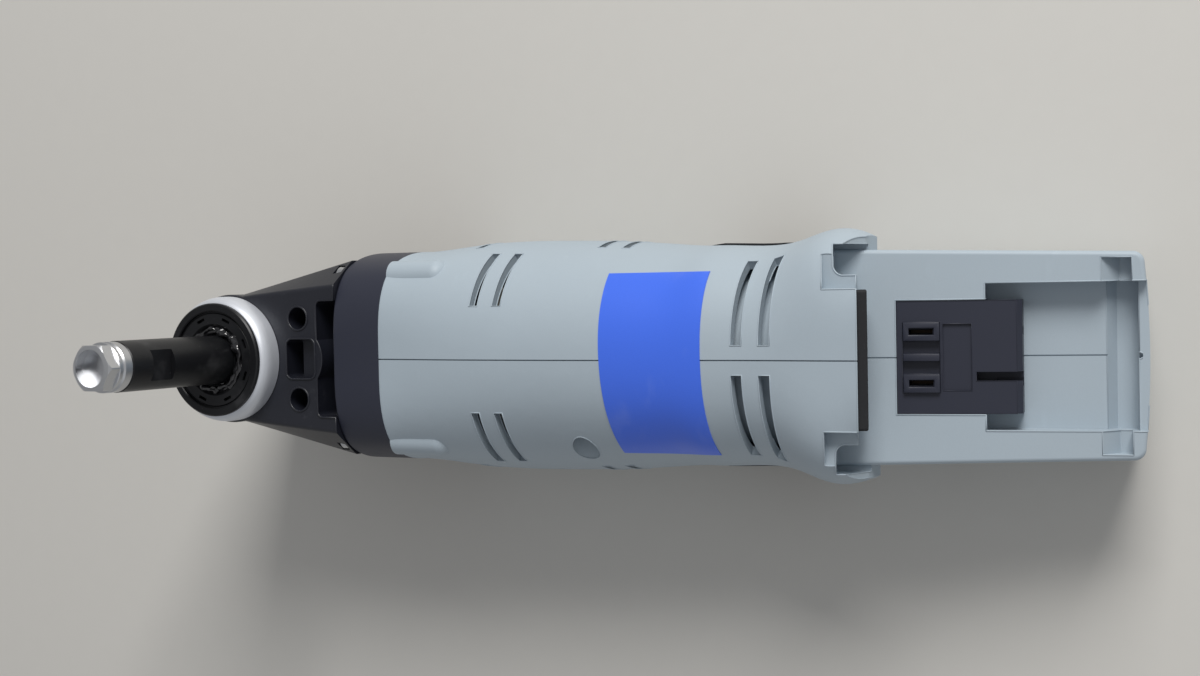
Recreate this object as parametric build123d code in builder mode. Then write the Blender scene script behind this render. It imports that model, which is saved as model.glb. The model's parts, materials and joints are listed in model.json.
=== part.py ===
from build123d import *
from math import copysign, cos, pi, radians, sin, tan
import os

# Cordless oscillating cast saw without its battery and blade. It lies on its back with the
# spindle upright: +X runs from nose to battery tray, +Z is the spindle's direction, z = 0 is
# the surface it rests on. Stations are distances behind the spindle, heights are above the
# body axis.

# Whole tool
nose_r = 20.0
rear_end = 273.6
axis_height = 35.0
overall = nose_r + rear_end
spindle_x = nose_r - overall / 2

# Stations along the body
band_front = 40.3
band_rear = 57.0
collar_rear = 197.5
hood_rear = 207.0

# Shell outline: station, half width, top, bottom, squareness (2 is an ellipse)
shell_outline = [
    (band_rear, 31.8, 32.0, -34.1, 3.4),
    (68.0, 32.4, 32.8, -34.1, 2.9),
    (84.0, 34.0, 33.9, -34.0, 2.4),
    (106.0, 34.2, 34.2, -34.0, 2.15),
    (130.0, 33.2, 33.4, -33.2, 2.15),
    (152.0, 31.5, 31.6, -31.6, 2.2),
    (172.0, 31.0, 30.4, -31.3, 2.25),
    (182.0, 32.2, 30.3, -31.0, 2.45),
    (190.0, 34.0, 30.6, -28.0, 3.0),
    (198.0, 34.3, 30.8, -25.0, 3.4),
    (hood_rear + 1.0, 28.5, 30.8, -23.0, 3.8),
]
shell_wall = 2.5
shell_cavity_rear = 182.0
section_points = 16
seam_width = 0.36
seam_depth = 0.9
seam_deck_front = -6.2

# Front band of the body
band_half = 31.8
band_top = 32.3
band_clearance = 0.3

# Gear case
case_top = 31.5
case_base = -22.0
case_plateau = (19.0, 22.3)
case_shoulder = ((19.9, 27.0), (29.8, 21.5))
case_flank = ((19.9, -10.0), (29.6, -20.0))
case_foot = ((13.0, case_base), (21.0, -33.4))
case_front = 2.0
spigot_r = 22.0
spigot_rear = 60.0
tunnel_r = 16.0
tunnel_rear = 44.0
spindle_chamber_r = 14.0
spindle_chamber_floor = -9.0

# Casting recesses in the gear case's top
dimple_r = 3.65
dimple_depth = 11.0
dimple_place = (26.7, 12.4)
pocket_front = 22.1
pocket_step = 26.0
pocket_rear = 33.0
pocket_half = 6.2
pocket_deep = 9.0
pocket_shallow = 3.5
trench_front = 33.6
trench_rear = 43.0
trench_half = 17.8
trench_depth = 11.0
trench_bulge_r = 9.4

# Gear case screws: side place, height, for the upper and the lower pair
case_screw_places = [(24.8, 22.8), (22.8, -24.6)]
case_screw_r = 2.0
case_screw_head_r = 3.1
case_screw_head = 2.0
case_screw_seat = 39.4
case_screw_channel = 3.0
case_screw_rear = 70.0
case_boss_r = 4.4
case_boss_rear = 76.0
hole_clearance = 0.1

# Neck that clamps attachments, with the rings in its mouth
neck_r = 19.4
neck_straight = 5.2
neck_top = 38.6
neck_top_r = 17.6
neck_spigot_r = 17.0
neck_spigot_low = 26.0
rim_r = 17.5
rim_bore_r = 15.0
rim_top = 40.0
rim_lip = 0.3
nut_r = 14.55
nut_bore_r = 10.2
nut_top = 39.2
nut_slot_r = 12.9
nut_slot_wide = 0.9
nut_slot_long = 3.0
seal_thick = 1.6
seal_gap = 0.2
fit_gap = 0.05
running_gap = 0.05
race_gap = 0.1

# Spindle
spindle_r = 7.5
spindle_top = rim_top + 42.6
spindle_foot_r = 5.0
spindle_foot = -18.5
throw_groove = (38.2, 39.0)
throw_groove_depth = 0.4
flat_low = rim_top + 25.0
flat_high = rim_top + 34.0
flat_across = 12.0
spindle_hole_r = 4.25
spindle_hole_depth = 26.0

# Clamp screw and washers at the spindle's end
washer_r = 7.34
washer_thick = 3.2
spring_washer_thick = 1.1
spring_washer_r = 6.9
flange_thick = 0.8
flange_r = 7.3
hex_across = 13.0
hex_corner_r = spindle_r - 0.08
hex_crown = 0.45
hex_height = 4.5
clamp_screw_r = 4.0
clamp_screw_length = 24.0

# Spindle bearings
upper_bearing_low = 27.0
upper_bearing_width = 9.0
upper_bearing_r = 14.0
upper_bearing_top = upper_bearing_low + upper_bearing_width
ball_r = 2.3
ball_count = 9
bush_r = 7.0
bush_low = -19.0
bush_length = 10.0

# Fork lever and the eccentric that swings it
swing_deg = 2.5
eccentric_throw = 1.0
eccentric_station = 23.0
eccentric_bearing_r = 7.0
eccentric_bearing_width = 7.0
eccentric_pin_r = 3.0
fork_hub_r = 12.0
fork_hub_height = 12.0
fork_low = -fork_hub_height / 2
fork_gap = eccentric_bearing_r + eccentric_throw + eccentric_station * sin(radians(swing_deg)) + 0.35
fork_arm = 3.8
fork_arm_height = 9.0
fork_rear = 27.4

# Rotor
shaft_r = 4.0
shaft_rear_r = 2.5
eccentric_pin_front = 18.6
eccentric_pin_rear = 29.0
weight_front = 29.6
weight_thick = 5.5
weight_r = 11.0
front_bearing_front = 46.0
front_bearing_r = 11.0
front_bearing_width = 7.0
fan_front = 86.0
fan_disc = 1.4
fan_r = 25.0
fan_blade = 9.0
fan_blades = 14
fan_hub_r = 7.0
winding_long = 2.6
core_front = 110.0
core_length = 32.0
core_r = 13.0
core_slots = 7
commutator_front = 145.0
commutator_length = 8.0
commutator_r = 6.0
commutator_bars = 14

# Motor
can_front = 102.0
can_rear = 152.0
can_r = 18.0
can_wall = 1.4
magnet_thick = 2.9
magnet_gap_half = 5.0
bell_rear = 166.0
bell_wall = 1.6
rear_bearing_r = 6.5
rear_bearing_front = 158.0
rear_bearing_width = 5.0
brush_width = 4.0
brush_long = 5.0
brush_outer = 13.0
brush_gap = 0.1
brush_station = 149.0

# Motor ribs in the shells
rib_thick = 2.6
rib_stations = [(104.0, 33.0), (146.5, 30.6)]
rib_clearance = 0.15
rib_window_r = 3.6

# Vents: station, width, first and last angle from the top
front_vents = [(90.4, 2.8), (98.0, 2.8)]
front_vent_angles = (26.0, 60.0)
rear_vents = [(172.5, 3.2), (180.6, 3.4)]
rear_vent_angles = (7.5, 57.0)
side_vents = [(81.6, 2.6), (123.0, 2.6), (130.6, 2.6)]
side_vent_angles = (68.0, 104.0)
vent_reach = 60.0

# Hood over the battery's front, with a ledge on both sides; hood and collar end undercut
hood_half = 18.65
hood_top = 30.8
rear_undercut = 20.0
collar_trim_low = -25.0
collar_side_rear = 200.6
collar_side_inner = 30.6
collar_web_rear = 203.4
collar_web = (4.0, 13.2)
collar_deck_gap = 0.6
ledge_half = 22.2
ledge_top = 25.6
ledge_front = 186.0
ledge_corner_r = 3.0
hood_hollow_half = 16.0
hood_hollow = (12.0, 27.6)
hood_wall = 2.6
hook_pocket_front = 187.4
hook_pocket_rear = 202.0
hook_pocket_half = 2.6
hook_pocket_y = 25.0
hook_pocket_height = 5.0
hook_pocket_middle = 18.1
hook_pocket_corner = 1.4

# Baffle under the rear vents
baffle_r = 25.6
baffle_wall = 1.6
baffle_front = 167.5
baffle_rear = 184.0
baffle_low = 8.0

# Battery tray
tray_front = 174.6
tray_lean = 14.0
tray_half_front = 29.4
tray_half_rear = 27.0
tray_bow = 1.6
deck_slope = 12.0
deck_drop = 18.7
deck_edge_r = 1.2
deck_length = (rear_end - hood_rear) / cos(radians(deck_slope))
tray_floor = 7.5
tray_skin = 2.6
slot_half = 19.5
slot_front = 27.3
floor_rear = 58.5
groove_bottom = 60.6
groove_rear = 66.2
groove_depth = 10.6
end_rim_depth = 3.6
latch_front = 56.8
latch_bottom = 61.4
latch_rear = 64.5
latch_inner = 19.0
latch_outer = 25.6
latch_depth = 4.8
tray_cavity_half = 23.5
tray_cavity_front = 179.0
tray_cavity_rear = 261.0
end_notch_r = 0.9

# Contact block
block_front = 4.2
block_rear = 36.8
block_half = 14.95
block_gap = 0.35
block_sink = 0.2
block_stem_front = 8.0
block_stem_rear = 20.0
block_stem_half = 7.0
block_stem_low = tray_floor + 6.0
block_slot_half = block_half + block_gap
block_well = (5.6, 15.6, 9.4)
block_panel = (16.2, 23.8, 8.9)
frame_y = 6.8
frame_half = 2.4
frame_hole = (7.1, 13.8, 0.85)
key_slot = (24.9, -5.1, 1.25)
tab_thick = 0.8
tab_high = 4.0
tab_low = 6.2

# Bumper strip under the hood
strip_half = 18.4
strip_thick = 2.8
strip_below = 2.2
strip_tall = 10.0

# Label on the upper side
label_corners = [(131.4, 24.1), (161.9, 24.1), (162.7, -26.8), (133.5, -26.8)]
label_thick = 0.25

# Grip saddle and slide switch on the back
saddle_front = 146.0
saddle_rear = 181.0
saddle_thick = 1.2
saddle_height = -5.0
slider_station = 165.0
slider_length = 18.0
slider_width = 12.0
slider_thick = 2.0
slider_outer = -34.6
stem_length = 7.0
stem_width = 6.0
switch_travel = 9.0
slot_clearance = 0.4
rod_low = -27.0
rod_thick = 2.4
rod_width = 7.0
rod_rear = 198.0
switch_front = 186.0
switch_rear = 204.0
switch_half = 7.5
switch_low = -29.5
switch_high = -15.0

# Housing screws: station and height
housing_screws_at = [
    (122.0, 22.6),
    (79.0, -24.0),
    (122.0, -24.0),
    (176.0, -17.0),
    (214.0, -25.6),
    (255.0, -25.6),
]
boss_r = 3.6
boss_wall = 1.5
screw_r = 1.7
screw_head_r = 3.2
screw_recess_r = 4.0
screw_head_seat = 12.0
screw_head_thick = 2.2
screw_reach = 12.0

# Control board
board_front = 219.5
board_rear = 254.0
board_half = 17.0
board_height = -17.0
board_thick = 1.6
post_r = 2.2
lead_r = 1.0
lead_bend = 2.6

os.makedirs("parts", exist_ok=True)


def x_of(station):
    """X of a distance behind the spindle."""
    return spindle_x + station


def z_of(height):
    """Z of a height above the body axis."""
    return axis_height + height


def keep(part, name):
    """Name a finished piece and write it."""
    part.label = name
    export_step(part, f"parts/{name}.step")


def across(station):
    """Plane across the body, its local x along +Y and its local y along +Z."""
    return Plane(origin=(x_of(station), 0, z_of(0)), x_dir=(0, 1, 0), z_dir=(1, 0, 0))


def level(height, station=0.0):
    """Level plane over a station."""
    return Plane.XY.offset(z_of(height)).move(Location((x_of(station), 0, 0)))


side = Plane(origin=(spindle_x, 0, axis_height), x_dir=(1, 0, 0), z_dir=(0, -1, 0))
deck_front_height = hood_top - deck_drop
deck = Plane(
    origin=(x_of(hood_rear), 0, z_of(deck_front_height)),
    x_dir=(cos(radians(deck_slope)), 0, -sin(radians(deck_slope))),
    z_dir=(sin(radians(deck_slope)), 0, cos(radians(deck_slope))),
)

deck_side = Plane(origin=deck.origin, x_dir=deck.x_dir, z_dir=(0, -1, 0))
hood_face = Plane(
    origin=(x_of(hood_rear), 0, z_of(hood_top)),
    x_dir=(0, 1, 0),
    z_dir=(cos(radians(rear_undercut)), 0, -sin(radians(rear_undercut))),
)


def deck_height(station):
    """Height of the tray's deck at a station."""
    return deck_front_height - (station - hood_rear) * tan(radians(deck_slope))


def undercut_station(station, height):
    """Station at a height on a rear face that runs through the station at the hood's top."""
    return station - (hood_top - height) * tan(radians(rear_undercut))


def oval_points(half_width, top, bottom, squareness):
    """Points of a closed smooth section between an ellipse and a rounded square."""
    middle = (top + bottom) / 2
    half_height = (top - bottom) / 2
    points = []
    for step in range(section_points):
        turn = 2 * pi * step / section_points
        across_share = copysign(abs(cos(turn)) ** (2 / squareness), cos(turn))
        up_share = copysign(abs(sin(turn)) ** (2 / squareness), sin(turn))
        points.append((half_width * across_share, middle + half_height * up_share))
    return points


def lofted(outline, grow):
    """Solid through the outline's sections, each moved out by grow."""
    with BuildPart() as solid:
        for station, half_width, top, bottom, squareness in outline:
            with BuildSketch(across(station)):
                with BuildLine():
                    Spline(*oval_points(half_width + grow, top + grow, bottom - grow, squareness), periodic=True)
                make_face()
        loft()
    return solid.part


def wedge(station, width, first, last, reach):
    """Fan-shaped slab from the body axis, between two angles from the top, on both sides."""
    with BuildPart() as fan:
        with BuildSketch(across(station - width / 2)):
            for sign in (1, -1):
                corners = [(0, 0)]
                for angle in (first, last):
                    corners.append((sign * reach * sin(radians(angle)), reach * cos(radians(angle))))
                with BuildLine():
                    Polyline(*corners, close=True)
                make_face()
        extrude(amount=width)
    return fan.part


def side_slab(points, half_width):
    """Slab across the body from a side outline of stations and heights."""
    with BuildPart() as slab:
        with BuildSketch(side):
            with BuildLine():
                Polyline(*points, close=True)
            make_face()
        extrude(amount=half_width, both=True)
    return slab.part


def deck_box(front, rear, low_y, high_y, top, bottom):
    """Box in the deck's own directions, from one depth to another."""
    with BuildPart() as box:
        with BuildSketch(deck.offset(-top)):
            with Locations(((front + rear) / 2, (low_y + high_y) / 2)):
                Rectangle(rear - front, high_y - low_y)
        extrude(amount=top - bottom)
    return box.part


def ring(plane, outer, inner, thick):
    """Plain turned ring."""
    with BuildPart() as turned:
        with BuildSketch(plane):
            Circle(outer)
            if inner > 0:
                Circle(inner, mode=Mode.SUBTRACT)
        extrude(amount=thick)
    return turned.part


# Shell: outer form
outer_skin = lofted(shell_outline, 0.0)

# Space cut from the skin behind the collar: above the ledge, above the deck, beside the tray
with BuildPart() as collar_trim:
    add(side_slab(
        [
            (undercut_station(collar_rear, 2 * axis_height), 2 * axis_height),
            (rear_end, 2 * axis_height),
            (rear_end, ledge_top),
            (undercut_station(collar_rear, ledge_top), ledge_top),
        ],
        2 * axis_height,
    ))
    add(side_slab(
        [
            (undercut_station(collar_side_rear, ledge_top + 1), ledge_top + 1),
            (rear_end, ledge_top + 1),
            (rear_end, deck_height(rear_end) - collar_deck_gap),
            (undercut_station(collar_side_rear, collar_web[1]), deck_height(collar_side_rear) - collar_deck_gap),
        ],
        collar_side_inner,
    ))
    add(side_slab(
        [
            (undercut_station(collar_side_rear, ledge_top), ledge_top + 1),
            (rear_end, ledge_top + 1),
            (rear_end, collar_trim_low),
            (undercut_station(collar_side_rear, collar_trim_low), collar_trim_low),
            (collar_web_rear, collar_web[0]),
            (collar_web_rear, collar_web[1]),
        ],
        2 * axis_height,
    ))
    add(
        side_slab(
            [
                (undercut_station(hood_rear, 2 * axis_height), 2 * axis_height),
                (undercut_station(hood_rear, -axis_height), -axis_height),
                (band_rear, -axis_height),
                (band_rear, 2 * axis_height),
            ],
            hood_half,
        ),
        mode=Mode.SUBTRACT,
    )

with BuildPart() as tray_block:
    rim_z = z_of(deck_height(rear_end)) - end_rim_depth / cos(radians(deck_slope))
    foot_rear = rear_end - rim_z * tan(radians(tray_lean))
    bow_from = foot_rear - tray_bow
    with BuildSketch(Plane.XY):
        with BuildLine():
            Polyline(
                (x_of(bow_from), tray_half_rear),
                (x_of(tray_front), tray_half_front),
                (x_of(tray_front), -tray_half_front),
                (x_of(bow_from), -tray_half_rear),
            )
            ThreePointArc(
                (x_of(bow_from), -tray_half_rear), (x_of(foot_rear), 0), (x_of(bow_from), tray_half_rear)
            )
        make_face()
    extrude(amount=z_of(hood_top), dir=(sin(radians(tray_lean)), 0, cos(radians(tray_lean))))
    lower_edges = tray_block.faces().sort_by(Axis.Z)[0].edges().filter_by(lambda e: abs(e.tangent_at(0.5).X) > 0.9)
    fillet(lower_edges, 11.0)
    split(bisect_by=deck, keep=Keep.BOTTOM)
    upright = tray_block.edges().filter_by(lambda edge: abs(edge.tangent_at(0.5).Z) > 0.9)
    fillet(upright.group_by(Axis.X)[-1], 3.0)
    deck_edges = tray_block.edges().filter_by(
        lambda edge: abs(edge.tangent_at(0.5).X) > 0.9 and abs(edge.tangent_at(0.5).Z) > 0.15
    )
    fillet(deck_edges, deck_edge_r)

with BuildPart() as ledges:
    add(side_slab(
        [
            (ledge_front, 0),
            (undercut_station(hood_rear, 0), 0),
            (undercut_station(hood_rear, ledge_top), ledge_top),
            (ledge_front, ledge_top),
        ],
        ledge_half,
    ))
    corner_station = undercut_station(collar_side_rear, ledge_top)
    with BuildSketch(level(ledge_top)):
        for sign in (1, -1):
            with Locations((corner_station + ledge_corner_r / 2 - 0.5, sign * (ledge_half + ledge_corner_r / 2))):
                Rectangle(ledge_corner_r + 1, ledge_corner_r)
            with Locations((corner_station + ledge_corner_r, sign * (ledge_half + ledge_corner_r))):
                Circle(ledge_corner_r, mode=Mode.SUBTRACT)
    extrude(
        amount=ledge_top - collar_web[0],
        dir=(-sin(radians(rear_undercut)), 0, -cos(radians(rear_undercut))),
    )

with BuildPart() as hood_hollow_space:
    add(side_slab(
        [
            (undercut_station(collar_rear, hood_hollow[0]), hood_hollow[0]),
            (undercut_station(hood_rear, hood_hollow[0]) - hood_wall, hood_hollow[0]),
            (undercut_station(hood_rear, hood_hollow[1]) - hood_wall, hood_hollow[1]),
            (undercut_station(collar_rear, hood_hollow[1]), hood_hollow[1]),
        ],
        hood_hollow_half,
    ))

with BuildPart() as bulges:
    for side_y, height in case_screw_places[:1]:
        with BuildSketch(across(band_rear)):
            with Locations((side_y, height), (-side_y, height)):
                Circle(case_boss_r)
        extrude(amount=case_boss_rear - band_rear)
    fillet(bulges.faces().sort_by(Axis.X)[-1].edges(), case_boss_r - 0.6)
    fillet(bulges.faces().group_by(Axis.X)[-1].edges(), case_boss_r - 0.6)

with BuildPart() as body_form:
    add(outer_skin)
    add(collar_trim.part, mode=Mode.SUBTRACT)
    add(bulges.part)
    add(ledges.part)
    add(tray_block.part)

inner_outline = [entry for entry in shell_outline if entry[0] <= shell_cavity_rear]
inner_skin = lofted(inner_outline, -shell_wall)
seam_skin = lofted(shell_outline, -seam_depth)

# Screw bosses that run across the body, each with a wider mouth on the right side
with BuildPart() as boss_bars:
    with BuildSketch(side):
        for station, height in housing_screws_at:
            with Locations((station, height)):
                Circle(boss_r)
    extrude(amount=axis_height, both=True)
    with BuildSketch(side.offset(screw_head_seat - screw_head_thick)):
        for station, height in housing_screws_at:
            with Locations((station, height)):
                Circle(screw_recess_r + boss_wall)
    extrude(amount=axis_height)
    with BuildSketch(across(band_rear)):
        for place_y, height in case_screw_places:
            with Locations((place_y, height), (-place_y, height)):
                Circle(case_boss_r)
    extrude(amount=case_boss_rear - band_rear - 3)
    with BuildSketch(level(-axis_height + 1)):
        for station in (board_front + 3.5, board_rear - 3.5):
            with Locations((station, board_half - 3), (station, 3 - board_half)):
                Circle(post_r)
    extrude(amount=axis_height - 1 + board_height)
    add(side_slab(
        [
            (switch_front + 6, -axis_height + 1),
            (switch_rear - 2, -axis_height + 1),
            (switch_rear - 2, switch_low),
            (switch_front + 6, switch_low),
        ],
        switch_half,
    ))
    add(body_form.part, mode=Mode.INTERSECT)

with BuildPart() as ribs:
    for station, reach in rib_stations:
        with BuildSketch(across(station - rib_thick / 2)):
            Circle(reach)
            Circle(can_r + rib_clearance, mode=Mode.SUBTRACT)
            with PolarLocations((reach + can_r - 2) / 2, 8, start_angle=22.5):
                Circle(rib_window_r, mode=Mode.SUBTRACT)
        extrude(amount=rib_thick)

# Space under the battery tray
tray_cavity_points = [
    (tray_cavity_front, -axis_height + tray_skin),
    (tray_cavity_rear, -axis_height + tray_skin),
    (tray_cavity_rear, deck_height(tray_cavity_rear) - tray_floor - tray_skin),
    (tray_cavity_front, deck_height(tray_cavity_front) - tray_floor - tray_skin),
]
with BuildPart() as tray_cavity:
    add(side_slab(tray_cavity_points, tray_cavity_half))
    fillet(tray_cavity.faces().sort_by(Axis.Z)[0].edges().filter_by(Axis.X), 9.0)

with BuildPart() as deck_cuts:
    add(deck_box(slot_front, floor_rear, -slot_half, slot_half, -4, tray_floor))
    add(deck_box(block_front - block_gap, slot_front + 1, -block_slot_half, block_slot_half, -1, tray_floor))
    add(deck_box(groove_rear - 1, deck_length + 6, -slot_half, slot_half, -4, end_rim_depth))
    with BuildSketch(deck_side):
        with BuildLine():
            Polyline(
                (floor_rear - 0.5, 4),
                (groove_rear, 4),
                (groove_rear, -groove_depth),
                (groove_bottom, -groove_depth),
                (floor_rear - 0.5, -tray_floor),
                close=True,
            )
        make_face()
    extrude(amount=slot_half, both=True)
    for sign in (1, -1):
        with BuildSketch(deck_side.offset(-sign * latch_inner)):
            with BuildLine():
                Polyline(
                    (latch_front, 0),
                    (latch_front, 2),
                    (latch_rear, 2),
                    (latch_rear, -latch_depth),
                    (latch_bottom, -latch_depth),
                    close=True,
                )
            make_face()
        extrude(amount=-sign * (latch_outer - latch_inner))
    with BuildSketch(deck.offset(1)):
        with Locations((groove_rear, 0)):
            Circle(end_notch_r)
    extrude(amount=-groove_depth)
    add(deck_box(
        block_stem_front - block_gap,
        block_stem_rear + block_gap,
        -block_stem_half - block_gap,
        block_stem_half + block_gap,
        tray_floor - 1,
        tray_floor + 3 * tray_skin,
    ))

with BuildPart() as hook_pockets:
    with BuildSketch(across(hook_pocket_front)):
        with Locations((hook_pocket_y, hook_pocket_middle), (-hook_pocket_y, hook_pocket_middle)):
            RectangleRounded(2 * hook_pocket_half, hook_pocket_height, hook_pocket_corner)
    extrude(amount=hook_pocket_rear - hook_pocket_front)

with BuildPart() as seam_slab:
    with BuildSketch(level(-axis_height - 1)):
        with Locations(((band_rear + tray_front) / 2, 0)):
            Rectangle(tray_front - band_rear, seam_width)
    extrude(amount=axis_height)
    with BuildSketch(level(0)):
        with Locations(((band_rear + hood_rear) / 2, 0)):
            Rectangle(hood_rear - band_rear + 1, seam_width)
    extrude(amount=axis_height + 1)
    add(seam_skin, mode=Mode.SUBTRACT)
    add(deck_box(seam_deck_front, block_front, -seam_width / 2, seam_width / 2, -1, seam_depth / 2))
    add(deck_box(
        block_rear - 3, floor_rear, -seam_width / 2, seam_width / 2, tray_floor - 1, tray_floor + seam_depth / 2
    ))

# Both shells as one hollow form, before it is parted along the seam
with BuildPart() as housing:
    add(body_form.part)
    add(inner_skin, mode=Mode.SUBTRACT)
    add(tray_cavity.part, mode=Mode.SUBTRACT)
    add(boss_bars.part)
    add(ribs.part)
    add(deck_cuts.part, mode=Mode.SUBTRACT)
    add(hook_pockets.part, mode=Mode.SUBTRACT)
    add(hood_hollow_space.part, mode=Mode.SUBTRACT)
    for station, width in front_vents:
        add(wedge(station, width, *front_vent_angles, vent_reach), mode=Mode.SUBTRACT)
    for station, width in rear_vents:
        add(wedge(station, width, *rear_vent_angles, vent_reach), mode=Mode.SUBTRACT)
    for station, width in side_vents:
        add(wedge(station, width, *side_vent_angles, vent_reach), mode=Mode.SUBTRACT)
    with BuildSketch(across(baffle_front)):
        Circle(baffle_r)
        Circle(baffle_r - baffle_wall, mode=Mode.SUBTRACT)
        with Locations((0, baffle_low - baffle_r)):
            Rectangle(2 * baffle_r, 2 * baffle_r, mode=Mode.SUBTRACT)
    extrude(amount=baffle_rear - baffle_front)
    # Screw passages and recesses
    with BuildSketch(side.offset(-screw_reach)):
        for station, height in housing_screws_at:
            with Locations((station, height)):
                Circle(screw_r + hole_clearance)
    extrude(amount=screw_reach + screw_head_seat + 1, mode=Mode.SUBTRACT)
    with BuildSketch(side.offset(screw_head_seat)):
        for station, height in housing_screws_at:
            with Locations((station, height)):
                Circle(screw_recess_r)
    extrude(amount=axis_height, mode=Mode.SUBTRACT)
    with BuildSketch(across(band_rear - 1)):
        for place_y, height in case_screw_places:
            with Locations((place_y, height), (-place_y, height)):
                Circle(case_screw_r + hole_clearance)
    extrude(amount=case_screw_rear - band_rear + 1, mode=Mode.SUBTRACT)
    # Slot for the switch slider's stem, across the back
    with BuildSketch(level(-axis_height - 1)):
        with Locations((slider_station - switch_travel / 2, 0)):
            RectangleRounded(
                stem_length + switch_travel + 2 * slot_clearance, stem_width + 2 * slot_clearance, 1.5
            )
    extrude(amount=axis_height / 2, mode=Mode.SUBTRACT)
    add(seam_slab.part, mode=Mode.SUBTRACT)

with BuildPart() as left_housing:
    add(housing.part)
    split(bisect_by=Plane.XZ, keep=Keep.BOTTOM)
keep(left_housing.part, "left_housing")

with BuildPart() as right_housing:
    add(housing.part)
    split(bisect_by=Plane.XZ, keep=Keep.TOP)
keep(right_housing.part, "right_housing")

with BuildPart() as housing_screws:
    with BuildSketch(side.offset(-screw_reach + 0.5)):
        for station, height in housing_screws_at:
            with Locations((station, height)):
                Circle(screw_r)
    extrude(amount=screw_reach - 0.5 + screw_head_seat)
    with BuildSketch(side.offset(screw_head_seat)):
        for station, height in housing_screws_at:
            with Locations((station, height)):
                Circle(screw_head_r)
    extrude(amount=screw_head_thick)
    with BuildSketch(side.offset(screw_head_seat + screw_head_thick)):
        for station, height in housing_screws_at:
            with Locations((station, height)):
                RegularPolygon(screw_r, 6)
    extrude(amount=-screw_head_thick * 0.6, mode=Mode.SUBTRACT)
keep(housing_screws.part, "housing_screws")

# Label, a thin sheet laid on the shells
with BuildPart() as label:
    add(lofted(shell_outline, label_thick))
    add(outer_skin, mode=Mode.SUBTRACT)
    with BuildSketch(level(0)):
        with BuildLine():
            Polyline(*label_corners, close=True)
        make_face()
    extrude(amount=2 * axis_height, mode=Mode.INTERSECT)
keep(label.part, "label")

# Soft grip saddle over the back of the waist, with a window for the slider
with BuildPart() as grip_saddle:
    add(lofted(shell_outline, saddle_thick))
    add(outer_skin, mode=Mode.SUBTRACT)
    add(
        side_slab(
            [
                (saddle_front, saddle_height - 6),
                (saddle_front + 8, saddle_height),
                (saddle_rear - 8, saddle_height),
                (saddle_rear, saddle_height - 6),
                (saddle_rear, -axis_height - 5),
                (saddle_front, -axis_height - 5),
            ],
            2 * axis_height,
        ),
        mode=Mode.INTERSECT,
    )
    with BuildSketch(level(-axis_height - 5)):
        with Locations((slider_station - switch_travel / 2, 0)):
            RectangleRounded(
                slider_length + switch_travel + 4 * slot_clearance, slider_width + 4 * slot_clearance, 3.0
            )
    extrude(amount=axis_height / 2, mode=Mode.SUBTRACT)
    add(tray_block.part, mode=Mode.SUBTRACT)
keep(grip_saddle.part, "grip_saddle")

# Rubber strip that the battery's front rests against
with BuildPart() as bumper_strip:
    with BuildSketch(hood_face):
        with Locations((0, -strip_below - strip_tall / 2)):
            RectangleRounded(2 * strip_half, strip_tall, 0.8)
    extrude(amount=strip_thick)
    fillet(bumper_strip.faces().sort_by(Axis.X)[-1].edges(), 0.5)
keep(bumper_strip.part, "bumper_strip")

# Band between the gear case and the shells
with BuildPart() as nose_band:
    with BuildSketch(across(band_front)):
        with BuildLine():
            Spline(*oval_points(band_half, band_top, -axis_height, shell_outline[0][4]), periodic=True)
        make_face()
    extrude(amount=band_rear - band_front)
    fillet(nose_band.faces().sort_by(Axis.X)[0].edges(), 0.9)
    with BuildSketch(across(band_front)):
        Circle(spigot_r + band_clearance)
        for place_y, height in case_screw_places:
            with Locations((place_y, height), (-place_y, height)):
                Circle(case_screw_r + hole_clearance)
    extrude(amount=band_rear - band_front, mode=Mode.SUBTRACT)
keep(nose_band.part, "nose_band")


def case_corners(end):
    """Corners of the gear case's section at its front (0) or rear (1) end, seen from the front."""
    right = [
        (case_plateau[end], case_top),
        case_shoulder[end],
        case_flank[end],
        case_foot[end],
    ]
    left = [(-corner_y, corner_z) for corner_y, corner_z in reversed(right)]
    return right + left


with BuildPart() as case_nose:
    with BuildSketch(level(case_base)):
        Circle(nose_r)
    extrude(amount=case_top - case_base)
    fillet(case_nose.faces().sort_by(Axis.Z)[0].edges(), 5.0)
    fillet(case_nose.faces().sort_by(Axis.Z)[-1].edges(), 0.8)

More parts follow.
